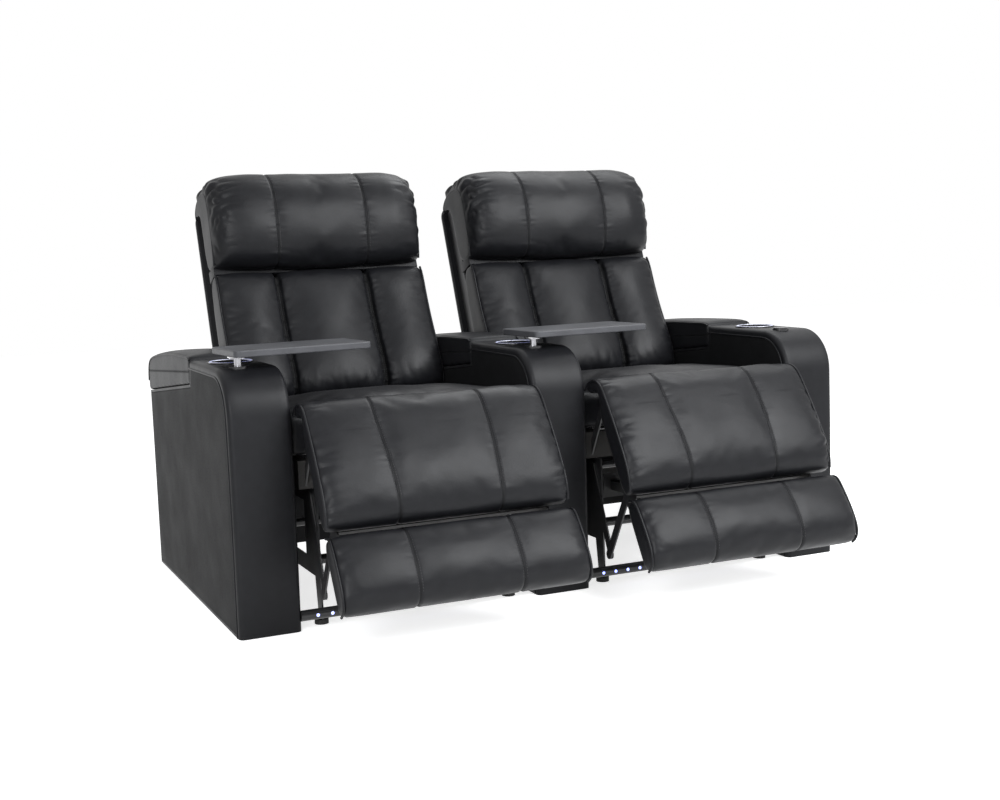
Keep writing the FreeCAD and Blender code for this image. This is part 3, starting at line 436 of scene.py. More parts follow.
def hide_group():
    """Leather: pebbled grain, fine creases, slow unevenness and painted shade darkening each sewn seam's
    groove.
    """
    found = bpy.data.node_groups.get("Hide surface")
    if found:
        return found
    group = bpy.data.node_groups.new("Hide surface", "ShaderNodeTree")
    group_socket(group, "Grain size", "INPUT", default=0.0026, low=0.0005, high=0.02)
    group_socket(group, "Grain depth", "INPUT", default=0.5, low=0, high=2)
    group_socket(group, "Crease depth", "INPUT", default=0.4, low=0, high=2)
    group_socket(group, "Height", "OUTPUT")
    group_socket(group, "Shade", "OUTPUT")
    group_socket(group, "Roughness", "OUTPUT")
    links = group.links
    given = group.nodes.new("NodeGroupInput")
    result = group.nodes.new("NodeGroupOutput")
    place = group.nodes.new("ShaderNodeTexCoord").outputs["Object"]

    drift = node(group, "ShaderNodeTexNoise", Scale=9.0, Detail=2.0)
    links.new(place, drift.inputs["Vector"])
    slow = node(group, "ShaderNodeTexNoise", Scale=34.0, Detail=3.0, Roughness=0.55)
    links.new(place, slow.inputs["Vector"])
    bend = group.nodes.new("ShaderNodeVectorMath")
    bend.operation = "MULTIPLY_ADD"
    links.new(slow.outputs["Color"], bend.inputs[0])
    bend.inputs[1].default_value = (0.006, 0.006, 0.006)
    links.new(place, bend.inputs[2])

    pebble = node(group, "ShaderNodeTexVoronoi", feature="SMOOTH_F1", Smoothness=0.6)
    links.new(bend.outputs[0], pebble.inputs["Vector"])
    links.new(math_node(group, "DIVIDE", 1.0, given.outputs["Grain size"]), pebble.inputs["Scale"])
    line = node(group, "ShaderNodeTexVoronoi", feature="DISTANCE_TO_EDGE", Scale=120.0)
    links.new(bend.outputs[0], line.inputs["Vector"])
    creases = fade(group, line.outputs["Distance"], 0.0, 0.09)
    # The seam mark lies along each sewn groove; the shade below paints shadow there from it.
    seam = group.nodes.new("ShaderNodeAttribute")
    seam.attribute_name = "seam"
    tension = fade(group, drift.outputs["Fac"], 0.42, 0.62)

    grain = math_node(group, "MULTIPLY", fade(group, pebble.outputs["Distance"], 0.0, 0.8, 1.0, 0.0),
                      math_node(group, "MULTIPLY", given.outputs["Grain depth"], 0.22))
    crease = math_node(group, "MULTIPLY", creases, math_node(group, "MULTIPLY", given.outputs["Crease depth"],
                                                             math_node(group, "MULTIPLY", tension, 0.3)))
    swell = math_node(group, "MULTIPLY", slow.outputs["Fac"], 1.1)
    height = math_node(group, "ADD", math_node(group, "ADD", grain, crease), swell)
    links.new(height, result.inputs["Height"])
    # Shade: slow random tone, less painted shade where the seam mark lies, darkening each sewn groove as its
    # shadow would.
    shade = math_node(group, "SUBTRACT", fade(group, slow.outputs["Fac"], 0.3, 0.7, 0.86, 1.12),
                      math_node(group, "MULTIPLY", seam.outputs["Fac"], 0.75))
    links.new(shade, result.inputs["Shade"])
    rough = math_node(group, "ADD", fade(group, drift.outputs["Fac"], 0.3, 0.7, -0.035, 0.045),
                      math_node(group, "MULTIPLY", seam.outputs["Fac"], 0.3))
    rough = math_node(group, "ADD", rough, fade(group, creases, 0.0, 1.0, 0.05, 0.0))
    links.new(rough, result.inputs["Roughness"])
    return group


def dust_group():
    """Hard parts: fine texture and faint smears."""
    found = bpy.data.node_groups.get("Hard finish")
    if found:
        return found
    group = bpy.data.node_groups.new("Hard finish", "ShaderNodeTree")
    group_socket(group, "Texture size", "INPUT", default=0.0012, low=0.0002, high=0.05)
    group_socket(group, "Height", "OUTPUT")
    group_socket(group, "Shade", "OUTPUT")
    group_socket(group, "Roughness", "OUTPUT")
    links = group.links
    given = group.nodes.new("NodeGroupInput")
    result = group.nodes.new("NodeGroupOutput")
    place = group.nodes.new("ShaderNodeTexCoord").outputs["Object"]
    fine = node(group, "ShaderNodeTexNoise", Detail=2.0)
    links.new(place, fine.inputs["Vector"])
    links.new(math_node(group, "DIVIDE", 1.0, given.outputs["Texture size"]), fine.inputs["Scale"])
    smear = node(group, "ShaderNodeTexNoise", Scale=14.0, Detail=5.0, Roughness=0.6)
    links.new(place, smear.inputs["Vector"])
    links.new(fine.outputs["Fac"], result.inputs["Height"])
    links.new(fade(group, smear.outputs["Fac"], 0.3, 0.7, 0.85, 1.15), result.inputs["Shade"])
    links.new(fade(group, smear.outputs["Fac"], 0.3, 0.7, -0.06, 0.06), result.inputs["Roughness"])
    return group


def shaded(name):
    """A new material with its node tree and shader."""
    material = bpy.data.materials.new(name)
    material.use_nodes = True
    return material, material.node_tree, material.node_tree.nodes["Principled BSDF"]


def surface(name, group, colour, roughness, metallic=0.0, bump=0.2, distance=0.0004, values=(), specular=0.5,
            coat=0.0):
    """A finish: its group's shade over a colour, its roughness about a level and its height as a bump."""
    found = bpy.data.materials.get(name)
    if found:
        return found
    material, tree, shader = shaded(name)
    detail = tree.nodes.new("ShaderNodeGroup")
    detail.node_tree = group
    for key, value in values:
        detail.inputs[key].default_value = value
    tint = tree.nodes.new("ShaderNodeVectorMath")
    tint.operation = "SCALE"
    tint.inputs[0].default_value = colour
    tree.links.new(detail.outputs["Shade"], tint.inputs["Scale"])
    tree.links.new(tint.outputs[0], shader.inputs["Base Color"])
    tree.links.new(math_node(tree, "ADD", detail.outputs["Roughness"], roughness, clamp=True),
                   shader.inputs["Roughness"])
    relief = node(tree, "ShaderNodeBump", Strength=bump, Distance=distance)
    tree.links.new(detail.outputs["Height"], relief.inputs["Height"])
    tree.links.new(relief.outputs["Normal"], shader.inputs["Normal"])
    shader.inputs["Metallic"].default_value = metallic
    shader.inputs["Specular IOR Level"].default_value = specular
    shader.inputs["Coat Weight"].default_value = coat
    shader.inputs["Coat Roughness"].default_value = 0.25
    return material


def leather():
    return surface("Black leather", hide_group(), colours().leather, 0.40, bump=0.32, distance=0.0011,
                   specular=0.16, values=(("Grain size", 0.0028), ("Grain depth", 0.5), ("Crease depth", 0.5)))


def panel_leather():
    return surface("Black leather, flat panels", hide_group(), colours().leather, 0.44, bump=0.25,
                   distance=0.0010, specular=0.16,
                   values=(("Grain size", 0.0026), ("Grain depth", 0.55), ("Crease depth", 0.2)))


def thread():
    return surface("Black thread", dust_group(), (0.03, 0.03, 0.032), 0.6, bump=0.4, distance=0.0002,
                   values=(("Texture size", 0.0006),))


def black_steel():
    return surface("Black painted steel", dust_group(), colours().steel, 0.38, bump=0.12, distance=0.0003,
                   values=(("Texture size", 0.0012),), coat=0.15)


def plain(name, colour, roughness, metallic=0.0, size=0.0012, bump=0.15, specular=0.5):
    return surface(name, dust_group(), colour, roughness, metallic=metallic, bump=bump, distance=0.0003,
                   values=(("Texture size", size),), specular=specular)


def lamp_and_painted_glint(name, strength):
    """A glowing finish for the small lights' lenses and for the painted rim glint on the cup holders; it glows
    a little unevenly.
    """
    found = bpy.data.materials.get(name)
    if found:
        return found
    material, tree, shader = shaded(name)
    spot = node(tree, "ShaderNodeTexNoise", Scale=260.0, Detail=1.0)
    tree.links.new(tree.nodes.new("ShaderNodeTexCoord").outputs["Object"], spot.inputs["Vector"])
    glow = tree.nodes.new("ShaderNodeVectorMath")
    glow.operation = "SCALE"
    glow.inputs[0].default_value = colours().light
    tree.links.new(fade(tree, spot.outputs["Fac"], 0.3, 0.7, 0.7, 1.0), glow.inputs["Scale"])
    tree.links.new(glow.outputs[0], shader.inputs["Emission Color"])
    shader.inputs["Emission Strength"].default_value = strength
    shader.inputs["Base Color"].default_value = (0.7, 0.72, 0.8, 1)
    shader.inputs["Roughness"].default_value = 0.2
    return material


def dress(name, material):
    """Give a CAD node its finish."""
    mesh = NODES[name].data
    mesh.materials.clear()
    mesh.materials.append(material)


def sink(piece, bm):
    """Cut the closed shapes of a bmesh out of a piece."""
    tool = to_object(bm, "wells")
    cut = piece.modifiers.new("Well", "BOOLEAN")
    cut.operation = "DIFFERENCE"
    cut.solver = "EXACT"
    cut.object = tool
    bake(piece)
    bpy.data.objects.remove(tool)


# Pads. Outlines are (y, z, draw in y, draw in z) in the pad's own upright frame, in metres.

PILLOW = [(-0.0165, 0.438, 0, 0.002), (-0.070, 0.435, 0, 0.006), (-0.118, 0.434, 0.024, 0.010),
          (-0.154, 0.452, 0.050, 0.008), (-0.183, 0.506, 0.072, 0), (-0.195, 0.578, 0.080, 0),
          (-0.183, 0.644, 0.068, -0.004), (-0.148, 0.690, 0.042, -0.012), (-0.100, 0.711, 0.018, -0.014),
          (-0.045, 0.716, 0, -0.013), (0.006, 0.712, 0, -0.012), (0.036, 0.695, -0.006, -0.010),
          (0.042, 0.672, -0.005, 0), (0.038, 0.656, -0.004, 0), (-0.0165, 0.656, 0, 0), (-0.0165, 0.55, 0, 0)]
BACK = [(-0.0165, 0.038, 0, 0), (-0.085, 0.037, 0, 0.004), (-0.140, 0.040, 0.030, 0.008),
        (-0.162, 0.062, 0.036, 0.004), (-0.166, 0.110, 0.036, 0), (-0.156, 0.165, 0.036, 0),
        (-0.143, 0.225, 0.036, 0), (-0.134, 0.290, 0.035, 0), (-0.128, 0.350, 0.032, 0),
        (-0.123, 0.398, 0.026, -0.002), (-0.106, 0.421, 0.016, -0.006), (-0.070, 0.425, 0, -0.006),
        (-0.0165, 0.424, 0, 0), (-0.0165, 0.23, 0, 0)]
SEAT = [(0.606, 0.404, 0, 0), (0.606, 0.428, -0.002, 0), (0.582, 0.461, -0.003, -0.004),
        (0.520, 0.483, 0, -0.008), (0.410, 0.506, 0, -0.010), (0.300, 0.524, 0, -0.014),
        (0.190, 0.532, 0, -0.018), (0.115, 0.530, 0, -0.018), (0.072, 0.520, 0.002, -0.012),
        (0.047, 0.502, 0.004, -0.006), (0.041, 0.470, 0.003, 0), (0.041, 0.420, 0.002, 0),
        (0.046, 0.404, 0, 0), (0.3, 0.404, 0, 0)]
CHAISE = [(0.0335, 0.0480, -0.004, -0.006), (0.0165, 0.0585, -0.002, -0.008), (-0.014, 0.0590, 0.002, -0.008),
          (-0.042, 0.0430, 0.005, -0.005), (-0.0585, 0.0150, 0.007, -0.001), (-0.0650, -0.030, 0.009, 0),
          (-0.0745, -0.090, 0.014, 0), (-0.0815, -0.150, 0.019, 0), (-0.0785, -0.210, 0.017, 0),
          (-0.0690, -0.248, 0.014, 0.002), (-0.049, -0.270, 0.008, 0.004), (-0.022, -0.2735, 0, 0.003),
          (-0.0012, -0.2705, 0, 0), (-0.0012, -0.15, 0, 0), (-0.0012, -0.042, 0, 0), (-0.0130, -0.0195, 0, 0),
          (-0.0235, 0.0, 0, 0), (-0.0170, 0.0170, 0, 0), (0.0, 0.0240, 0, 0), (0.0135, 0.0205, 0, 0),
          (0.024, 0.034, 0, 0)]
FOOT = [(-0.0012, -0.2865, 0, 0), (-0.028, -0.2835, 0, -0.003), (-0.056, -0.288, 0.008, -0.004),
        (-0.0690, -0.306, 0.014, -0.002), (-0.0765, -0.340, 0.017, 0), (-0.0825, -0.385, 0.019, 0),
        (-0.0825, -0.424, 0.019, 0), (-0.0700, -0.453, 0.013, 0.002), (-0.049, -0.4685, 0.007, 0.003),
        (-0.022, -0.4705, 0, 0.003), (-0.0012, -0.467, 0, 0), (-0.0012, -0.38, 0, 0)]


def sewn(half, seams, rest, firm=1.0):
    """How firmly a point is held while its pad fills: at the sides, at the seams and where rest says."""
    def hold(co):
        side = smoothstep(half - 0.016, half - 0.004, abs(co.x))
        seam = max([1 - smoothstep(0.003, 0.011, abs(co.x - at)) for at in seams] or [0])
        return max(side, firm * seam, rest(co))
    return hold


def make_pad(name, outline, half, end, dip, hold, height, pressure, cap, seams=(-CHANNEL, CHANNEL), form=None,
             power=2.6):
    """A stuffed pad: lofted, formed, remeshed, filled as cloth, then sewn."""
    piece = cage(name, outline, crowned(half, seams, dip, end, power), crease_at=seams)
    if form:
        for vert in piece.data.vertices:
            vert.co = form(vert.co)
    refine(piece, 2)
    remesh(piece, shape().weave_size)
    plump(piece, hold, pressure, cap)
    relax(piece, 6)
    refine(piece, 1)
    work(piece, height)
    piece.data.materials.clear()
    piece.data.materials.append(leather())
    for face in piece.data.polygons:
        face.use_smooth = True
    return piece


def seam_path(tree, line, centre, start, stop, steps):
    """Points and normals on a pad's skin along a seam, between two angles up from ahead about centre."""
    found = []
    for step in range(steps + 1):
        turn = math.radians(start + (stop - start) * step / steps)
        way = Vector((0, -math.cos(turn), math.sin(turn)))
        spot = Vector((0, *centre))
        for _ in range(2):
            spot = tree.ray_cast(Vector((line(spot.z), *centre)) + way * 0.6, -way)
            if spot[0] is None:
                break
            normal, spot = spot[1], spot[0]
        else:
            found.append((spot, normal))
    return found


def sew(name, piece, lines, centre, start, stop, bodies, place):
    """Lay a fine cord in each seam of a finished pad and a row of stitches on both sides of it."""
    skin = bmesh.new()
    skin.from_mesh(piece.data)
    tree = BVHTree.FromBMesh(skin)
    skin.free()
    stitch = bmesh.new()
    bmesh.ops.create_uvsphere(stitch, u_segments=6, v_segments=4, radius=1.0)
    bmesh.ops.scale(stitch, vec=(0.0021, 0.00042, 0.00040), verts=stitch.verts)
    pattern = bpy.data.meshes.new("stitch")
    stitch.to_mesh(pattern)
    stitch.free()
    rows, paths = bmesh.new(), []
    for line in lines:
        path = seam_path(tree, line, centre, start, stop, 48)
        paths.append([spot + normal * 0.0001 for spot, normal in path])
        for side in (-THREAD_ROW, THREAD_ROW):
            path = seam_path(tree, lambda z: line(z) + side, centre, start, stop, 500)
            run = 0.0
            for (last, _), (spot, normal) in zip(path, path[1:]):
                run += (spot - last).length
                if run < shape().stitch_pitch:
                    continue
                run = 0.0
                along = (spot - last).normalized()
                across = normal.cross(along).normalized()
                turn = Matrix((along, across, along.cross(across))).transposed().to_4x4()
                before = len(rows.verts)
                rows.from_mesh(pattern)
                rows.verts.ensure_lookup_table()
                bmesh.ops.transform(rows, matrix=Matrix.Translation(spot + normal * 0.0001) @ turn,
                                    verts=rows.verts[before:])
    copy_to_seats(cords(name + "_cord", paths, SEAM_CORD), name + "_cord", bodies, (), place)
    copy_to_seats(to_object(rows, name + "_stitches", thread()), name + "_stitches", bodies, (), place)


def side_welts(name, outline, half, first, last, bodies, place, end=0.0, lift=0.001, form=None):
    """Piping along both side edges of a pad, between two points of its outline."""
    radius = shape().welt
    spots = [(y + (1 - end) * dy, z + (1 - end) * dz) for y, z, dy, dz in outline[first:last + 1]]
    paths = []
    for way in (-1, 1):
        points = [Vector((way * half, y, z)) for y, z in spots]
        if form:
            points = [form(p) for p in points]
        paths.append([p - Vector((way * (radius - lift), 0, 0)) for p in points])
    copy_to_seats(cords(name, paths, radius), name, bodies, (), place)


def pillow_form(co):
    """Round the pillow's top corners down over the ends of the frame and bow its lower edge."""
    half = shape().half_seat
    reach = min(1.0, max(0.0, (abs(co.x) - (half - 0.070)) / 0.070))
    drop = 0.034 * (1 - math.sqrt(1 - reach ** 2)) * smoothstep(0.52, 0.70, co.z)
    bow = 0.017 * (1 - (co.x / half) ** 2) * smoothstep(0.50, 0.44, co.z) * smoothstep(-0.080, -0.120, co.y)
    return Vector((co.x, co.y, co.z - drop - bow))


class RECLINER_OT_pillows(bpy.types.Operator):
    """Stuff and sew the two head pillows."""
    bl_idname = "recliner.pillows"
    bl_label = "Head pillows"

    def execute(self, context):
        half = shape().half_seat + 0.001
        place = lean(BACK_HINGE, shape().back_lean)
        hold = sewn(half, (-CHANNEL, CHANNEL), lambda co: 1.0 if co.y > -0.035 and co.z < 0.67 else 0.0, 0.5)

        def height(co, normal):
            push, mark = seam_push(co, (-CHANNEL, CHANNEL), shape().seam_depth * 0.8, 0.0012, 3.1)
            front = smoothstep(-0.3, 0.4, -normal.y + 0.9 * normal.z)
            upper = 0.30 + 0.65 * smoothstep(0.50, 0.64, co.z)
            push += 0.0095 * front * upper * gathers(co, half, 0.050, 0.012, 7.0, 36.0, 1.7)
            under = math.exp(-((co.z - 0.445) / 0.020) ** 2) * front
            push += 0.0010 * under * folds(Vector((co.z, co.x, co.y)), 10.0, 34.0, 5.0)
            push += 0.0022 * front * noise.noise(co * 11.0)
            return push, mark
        piece = make_pad("head_pillow", PILLOW, half, 0.0, 0.95, hold, height, pressure=4.0, cap=0.010,
                         form=pillow_form)
        lines = (lambda z: -CHANNEL, lambda z: CHANNEL)
        sew("pillow_seam", piece, lines, (-0.08, 0.57), -58, 140, "back_%s", place)
        copy_to_seats(piece, "pillow", "back_%s", ("head_pillow_%s",), place)
        side_welts("pillow_welt", PILLOW, half, 2, 13, "back_%s", place, lift=0.0, form=pillow_form)
        return {"FINISHED"}


class RECLINER_OT_backs(bpy.types.Operator):
    """Stuff and sew the two back cushions with their three channels."""
    bl_idname = "recliner.backs"
    bl_label = "Back cushions"

    def execute(self, context):
        half = shape().half_seat
        place = lean(BACK_HINGE, shape().back_lean)
        hold = sewn(half, (-CHANNEL, CHANNEL), lambda co: 1.0 if co.y > -0.035 else 0.0)

        def height(co, normal):
            push, mark = seam_push(co, (-CHANNEL, CHANNEL), shape().seam_depth * 2.4, 0.0016, 7.7, 0.0062)
            front = smoothstep(-0.2, 0.5, -normal.y)
            push += 0.0022 * front * gathers(co, half, 0.035, 0.010, 9.0, 40.0, 2.2)
            low = math.exp(-((co.z - 0.060) / 0.035) ** 2) * front
            push += 0.0026 * low * folds(Vector((co.z, co.x, 0)), 8.0, 30.0, 4.4)
            push += 0.0020 * front * noise.noise(co * 9.0)
            return push, mark
        piece = make_pad("back_cushion", BACK, half, 0.2, 0.0, hold, height, pressure=4.0, cap=0.010,
                         power=1.9)
        lines = (lambda z: -CHANNEL, lambda z: CHANNEL)
        sew("back_seam", piece, lines, (-0.04, 0.23), -68, 68, "back_%s", place)
        copy_to_seats(piece, "back_pad", "back_%s", ("back_cushion_%s",), place)
        side_welts("back_welt", BACK, half, 2, 10, "back_%s", place, end=0.2)
        bm = slab([(-0.080, 0.421), (-0.0165, 0.416), (-0.0165, 0.450), (-0.080, 0.445)], -0.3015, 0.3015)
        round_edges(bm, lambda e: True, 0.002, 2)
        copy_to_seats(to_object(bm, "back_web", panel_leather()), "back_web", "back_%s", (), place)
        return {"FINISHED"}


class RECLINER_OT_seats(bpy.types.Operator):
    """Stuff the two seat cushions."""
    bl_idname = "recliner.seats"
    bl_label = "Seat cushions"

    def execute(self, context):
        half = shape().half_seat
        place = Matrix.Translation((0, FRONT, 0))
        hold = sewn(half, (), lambda co: 1.0 if co.z < 0.44 or co.y > 0.53 or co.y < 0.046 else 0.0)

        def height(co, normal):
            top = smoothstep(0.3, 0.8, normal.z)
            push, mark = 0.0, 0.0
            if top > 0:
                valley = math.exp(-((co.y - 0.085) / 0.045) ** 2)
                push += 0.0030 * top * valley * folds(Vector((co.y, co.x, 0)), 7.0, 17.0, 6.1)
                push += 0.0080 * top * noise.noise(Vector((co.x * 5.5, co.y * 6, 2.0)))
                edge = half - abs(co.x)
                push += 0.0024 * top * math.exp(-(edge / 0.04) ** 2) * folds(co, 8.0, 26.0, 3.3)
            return push, mark
        piece = make_pad("seat_cushion", SEAT, half, 0.0, 1.0, hold, height, pressure=3.0, cap=0.009, seams=())
        copy_to_seats(piece, "seat_pad", "base", ("seat_cushion_%s",), place)
        return {"FINISHED"}


def chaise_seam(z):
    """How far from the middle a chaise pad's seams lie, wider apart over the roll."""
    return 0.138 - 0.011 * smoothstep(0.0, -0.27, z)


class RECLINER_OT_chaises(bpy.types.Operator):
    """Stuff and sew the upper pads, which roll over the legrest's hinge line."""
    bl_idname = "recliner.chaises"
    bl_label = "Chaise pads"

    def execute(self, context):
        half = 0.302
        place = lean(LEG_HINGE, shape().leg_angle)

        def board(co):
            inner = co.y > -0.018 and co.z < -0.01
            hub = math.hypot(co.y, co.z) < 0.036
            lip = co.z > -0.01 and co.y > 0.012
            return 1.0 if inner or hub or lip or co.z < -0.262 else 0.0
        hold = sewn(half, (-CHANNEL, CHANNEL), board, 0.4)

        def height(co, normal):
            seams = (-chaise_seam(co.z), chaise_seam(co.z))
            push, mark = seam_push(co, seams, shape().seam_depth * 0.8, 0.0007, 9.3)
            front = smoothstep(-0.2, 0.4, -normal.y + 0.6 * max(0.0, normal.z))
            push += 0.0042 * front * gathers(co, half, 0.034, 0.008, 8.0, 36.0, 8.8)
            push += 0.0022 * front * noise.noise(co * 10.0)
            if co.z > -0.05 and math.hypot(co.y, co.z) > 0.045:
                push = min(push, 0.0005)
            return push, mark
        piece = make_pad("chaise_pad", CHAISE, half, 0.0, 0.94, hold, height, pressure=3.0, cap=0.006)
        lines = (lambda z: -chaise_seam(z), chaise_seam)
        sew("chaise_seam", piece, lines, (-0.028, -0.12), -66, 98, "legrest_%s", place)
        copy_to_seats(piece, "chaise", "legrest_%s", ("upper_leg_pad_%s",), place)
        side_welts("chaise_welt", CHAISE, half, 0, 10, "legrest_%s", place)
        return {"FINISHED"}


class RECLINER_OT_feet(bpy.types.Operator):
    """Stuff and sew the lower pads of the legrests."""
    bl_idname = "recliner.feet"
    bl_label = "Lower leg pads"

    def execute(self, context):
        half = 0.305
        place = lean(LEG_HINGE, shape().leg_angle)
        hold = sewn(half, (-CHANNEL, CHANNEL),
                    lambda co: 1.0 if co.y > -0.018 or co.z > -0.292 else 0.0, 0.4)

        def height(co, normal):
            push, mark = seam_push(co, (-FOOT_SEAM, FOOT_SEAM), shape().seam_depth * 0.8, 0.0007, 11.9)
            front = smoothstep(-0.2, 0.4, -normal.y)
            push += 0.0020 * front * gathers(co, half, 0.030, 0.008, 8.0, 40.0, 12.4)
            push += 0.0020 * front * noise.noise(co * 10.0)
            return push, mark
        piece = make_pad("lower_pad", FOOT, half, 0.0, 0.94, hold, height, pressure=3.0, cap=0.006)
        lines = (lambda z: -FOOT_SEAM, lambda z: FOOT_SEAM)
        sew("foot_seam", piece, lines, (-0.028, -0.38), -62, 68, "legrest_%s", place)
        copy_to_seats(piece, "foot_pad", "legrest_%s", ("lower_leg_pad_%s",), place)
        side_welts("foot_welt", FOOT, half, 1, 9, "legrest_%s", place)
        return {"FINISHED"}


# Upholstered boards: arms, lids, back panels and skirts

def slab(points, low, high):
    """A closed prism: an outline of (y, z) points swept along X from low to high."""
    bm = bmesh.new()
    row = [bm.verts.new((low, y, z)) for y, z in points]
    edges = [bm.edges.new((row[i - 1], row[i])) for i in range(len(row))]
    face = bmesh.ops.contextual_create(bm, geom=edges)["faces"]
    made = bmesh.ops.extrude_face_region(bm, geom=face)["geom"]
    far = [g for g in made if isinstance(g, bmesh.types.BMVert)]
    bmesh.ops.translate(bm, vec=(high - low, 0, 0), verts=far)
    bmesh.ops.recalc_face_normals(bm, faces=bm.faces)
    return bm


def round_edges(bm, wanted, radius, segments):
    """Round the edges of bm that are wanted."""
    bmesh.ops.bevel(bm, geom=[e for e in bm.edges if wanted(e)], offset=radius, offset_type="OFFSET",
                    segments=segments, profile=0.5, affect="EDGES", material=-1, clamp_overlap=True)


def sewn_panel(bm, faces, border, crown, mark, groove=0.0016):
    """Outline faces with a sewn groove at border from their edges, and crown what lies inside it."""
    insets = [(border, 0), (0.0012, -groove), (0.0012, groove), (0.006, crown * 0.45)]
    if crown > 0.0015:
        insets += [(0.020, crown * 0.4), (0.030, crown * 0.15)]
    for face in faces:
        for thick, deep in insets:
            bmesh.ops.inset_region(bm, faces=[face], thickness=thick, depth=deep, use_even_offset=True)
            # The groove's points get the seam mark, from which the leather paints shade into the groove.
            if deep == -groove:
                for vert in face.verts:
                    vert[mark] = 0.8


class RECLINER_OT_arms(bpy.types.Operator):
    """Upholster the three arms, with their wells for the cup, the tray, the buttons and the store."""
    bl_idname = "recliner.arms"
    bl_label = "Arms"

    def execute(self, context):
        outline = [(0, 0), (0, 0.625), (0.388, 0.625), (0.388, 0.564), (0.940, 0.502), (0.940, 0)]
        for place_name, x in ARMS.items():
            bm = slab([(FRONT + f, z) for f, z in outline], -ARM_HALF, ARM_HALF)
            mark = bm.verts.layers.float.new("seam")
            round_edges(bm, lambda e: all(v.co.y < FRONT + 0.001 and v.co.z > 0.62 for v in e.verts),
                        0.110, 14)
            for z in (0.1, 0.2, 0.3, 0.4):
                front = [f for f in bm.faces if all(v.co.y < FRONT + 0.001 for v in f.verts)]
                edges = list({e for f in front for e in f.edges})
                verts = list({v for f in front for v in f.verts})
                bmesh.ops.bisect_plane(bm, geom=front + edges + verts, plane_co=(0, 0, z), plane_no=(0, 0, 1))
            for at in (-0.048, -0.024, 0.0, 0.024, 0.048):
                bmesh.ops.bisect_plane(bm, geom=bm.faces[:] + bm.edges[:] + bm.verts[:], plane_co=(at, 0, 0),
                                       plane_no=(1, 0, 0))

            def padded_edge(edge):
                mid = (edge.verts[0].co + edge.verts[1].co) / 2
                if any(abs(abs(v.co.x) - ARM_HALF) > 1e-5 for v in edge.verts) or mid.z < 0.001:
                    return False
                return not (mid.y > FRONT + 0.3885 and 0.503 < mid.z < 0.563)
            round_edges(bm, padded_edge, shape().arm_edge, 5)
            sides = [f for f in bm.faces if abs(f.normal.x) > 0.99 and f.calc_area() > 0.2]
            sewn_panel(bm, sides, 0.0065, 0.0016 if place_name == "centre" else 0.0022, mark)
            for vert in bm.verts:
                f, z = vert.co.y - FRONT, vert.co.z
                if f < 0.06:
                    bulge = max(0.0, math.sin(math.pi * min(1.0, z / 0.54)))
                    across = 1 - 0.5 * (vert.co.x / ARM_HALF) ** 2
                    vert.co.y -= 0.0065 * bulge * across * (1 - f / 0.06)
            bmesh.ops.recalc_face_normals(bm, faces=bm.faces)
            piece = to_object(bm, "arm_pad_" + place_name, panel_leather())
            spots = [(0.0195, 0.001), (0.0165, 0.14), (0.0140, 0.28), (0.0165, 0.41), (0.0195, 0.515)]
            spots += [(0.110 - 0.0905 * math.cos(math.radians(a)), 0.515 + 0.0905 * math.sin(math.radians(a)))
                      for a in range(12, 90, 12)]
            spots += [(0.115, 0.6055), (0.200, 0.6055), (0.300, 0.6055), (0.386, 0.6055)]
            paths = [[Vector((x + way, FRONT + f, z)) for f, z in spots] for way in (-0.0752, 0.0752)]
            welt = cords("arm_welt_" + place_name, paths, 0.0023)
            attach(welt, "base")
            tool = bmesh.new()
            tray_x, tray_y = TRAY_AT
            drum(tool, (0, FRONT + CUP_AT, 0.602), CUP_WELL, 0.120, segments=64)
            drum(tool, (tray_x, FRONT + tray_y, 0.6025), 0.0152, 0.097)
            block(tool, (-0.057, FRONT + 0.418, 0.25), (0.057, FRONT + 0.910, 0.66))
            if place_name != "right":
                block(tool, (0.067, FRONT + 0.1679, 0.5599), (0.09, FRONT + 0.2421, 0.5981))
            sink(piece, tool)
            tool = bmesh.new()
            drum(tool, (tray_x, FRONT + tray_y, 0.64), 0.0221, 0.036, segments=48)
            sink(piece, tool)
            piece.data.transform(Matrix.Translation((x, 0, 0)))
            for face in piece.data.polygons:
                face.use_smooth = True
            smooth_by_angle(piece, 38)
            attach(piece, "base")
            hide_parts("arm_" + place_name)
        return {"FINISHED"}


def smooth_by_angle(piece, angle):
    """Keep edges sharper than angle crisp."""
    bm = bmesh.new()
    bm.from_mesh(piece.data)
    for edge in bm.edges:
        edge.smooth = not (len(edge.link_faces) == 2 and edge.calc_face_angle(0) > math.radians(angle))
    bm.to_mesh(piece.data)
    bm.free()


LID = [(0.3905, 0.5650, 0, 0), (0.3895, 0.600, 0.001, 0), (0.3895, 0.628, 0.002, -0.002),
       (0.398, 0.6385, 0.002, -0.006), (0.440, 0.6395, 0, -0.009), (0.540, 0.6385, 0, -0.009),
       (0.640, 0.6345, 0, -0.009), (0.740, 0.6275, 0, -0.009), (0.840, 0.6165, 0, -0.009),
       (0.902, 0.6055, -0.001, -0.008), (0.938, 0.590, -0.003, -0.006), (0.951, 0.563, -0.003, -0.002),
       (0.9525, 0.530, -0.001, 0), (0.9535, 0.5010, 0, 0), (0.942, 0.5022, 0, 0), (0.850, 0.5132, 0, 0),
       (0.700, 0.5300, 0, 0), (0.550, 0.5468, 0, 0), (0.402, 0.5628, 0, 0)]


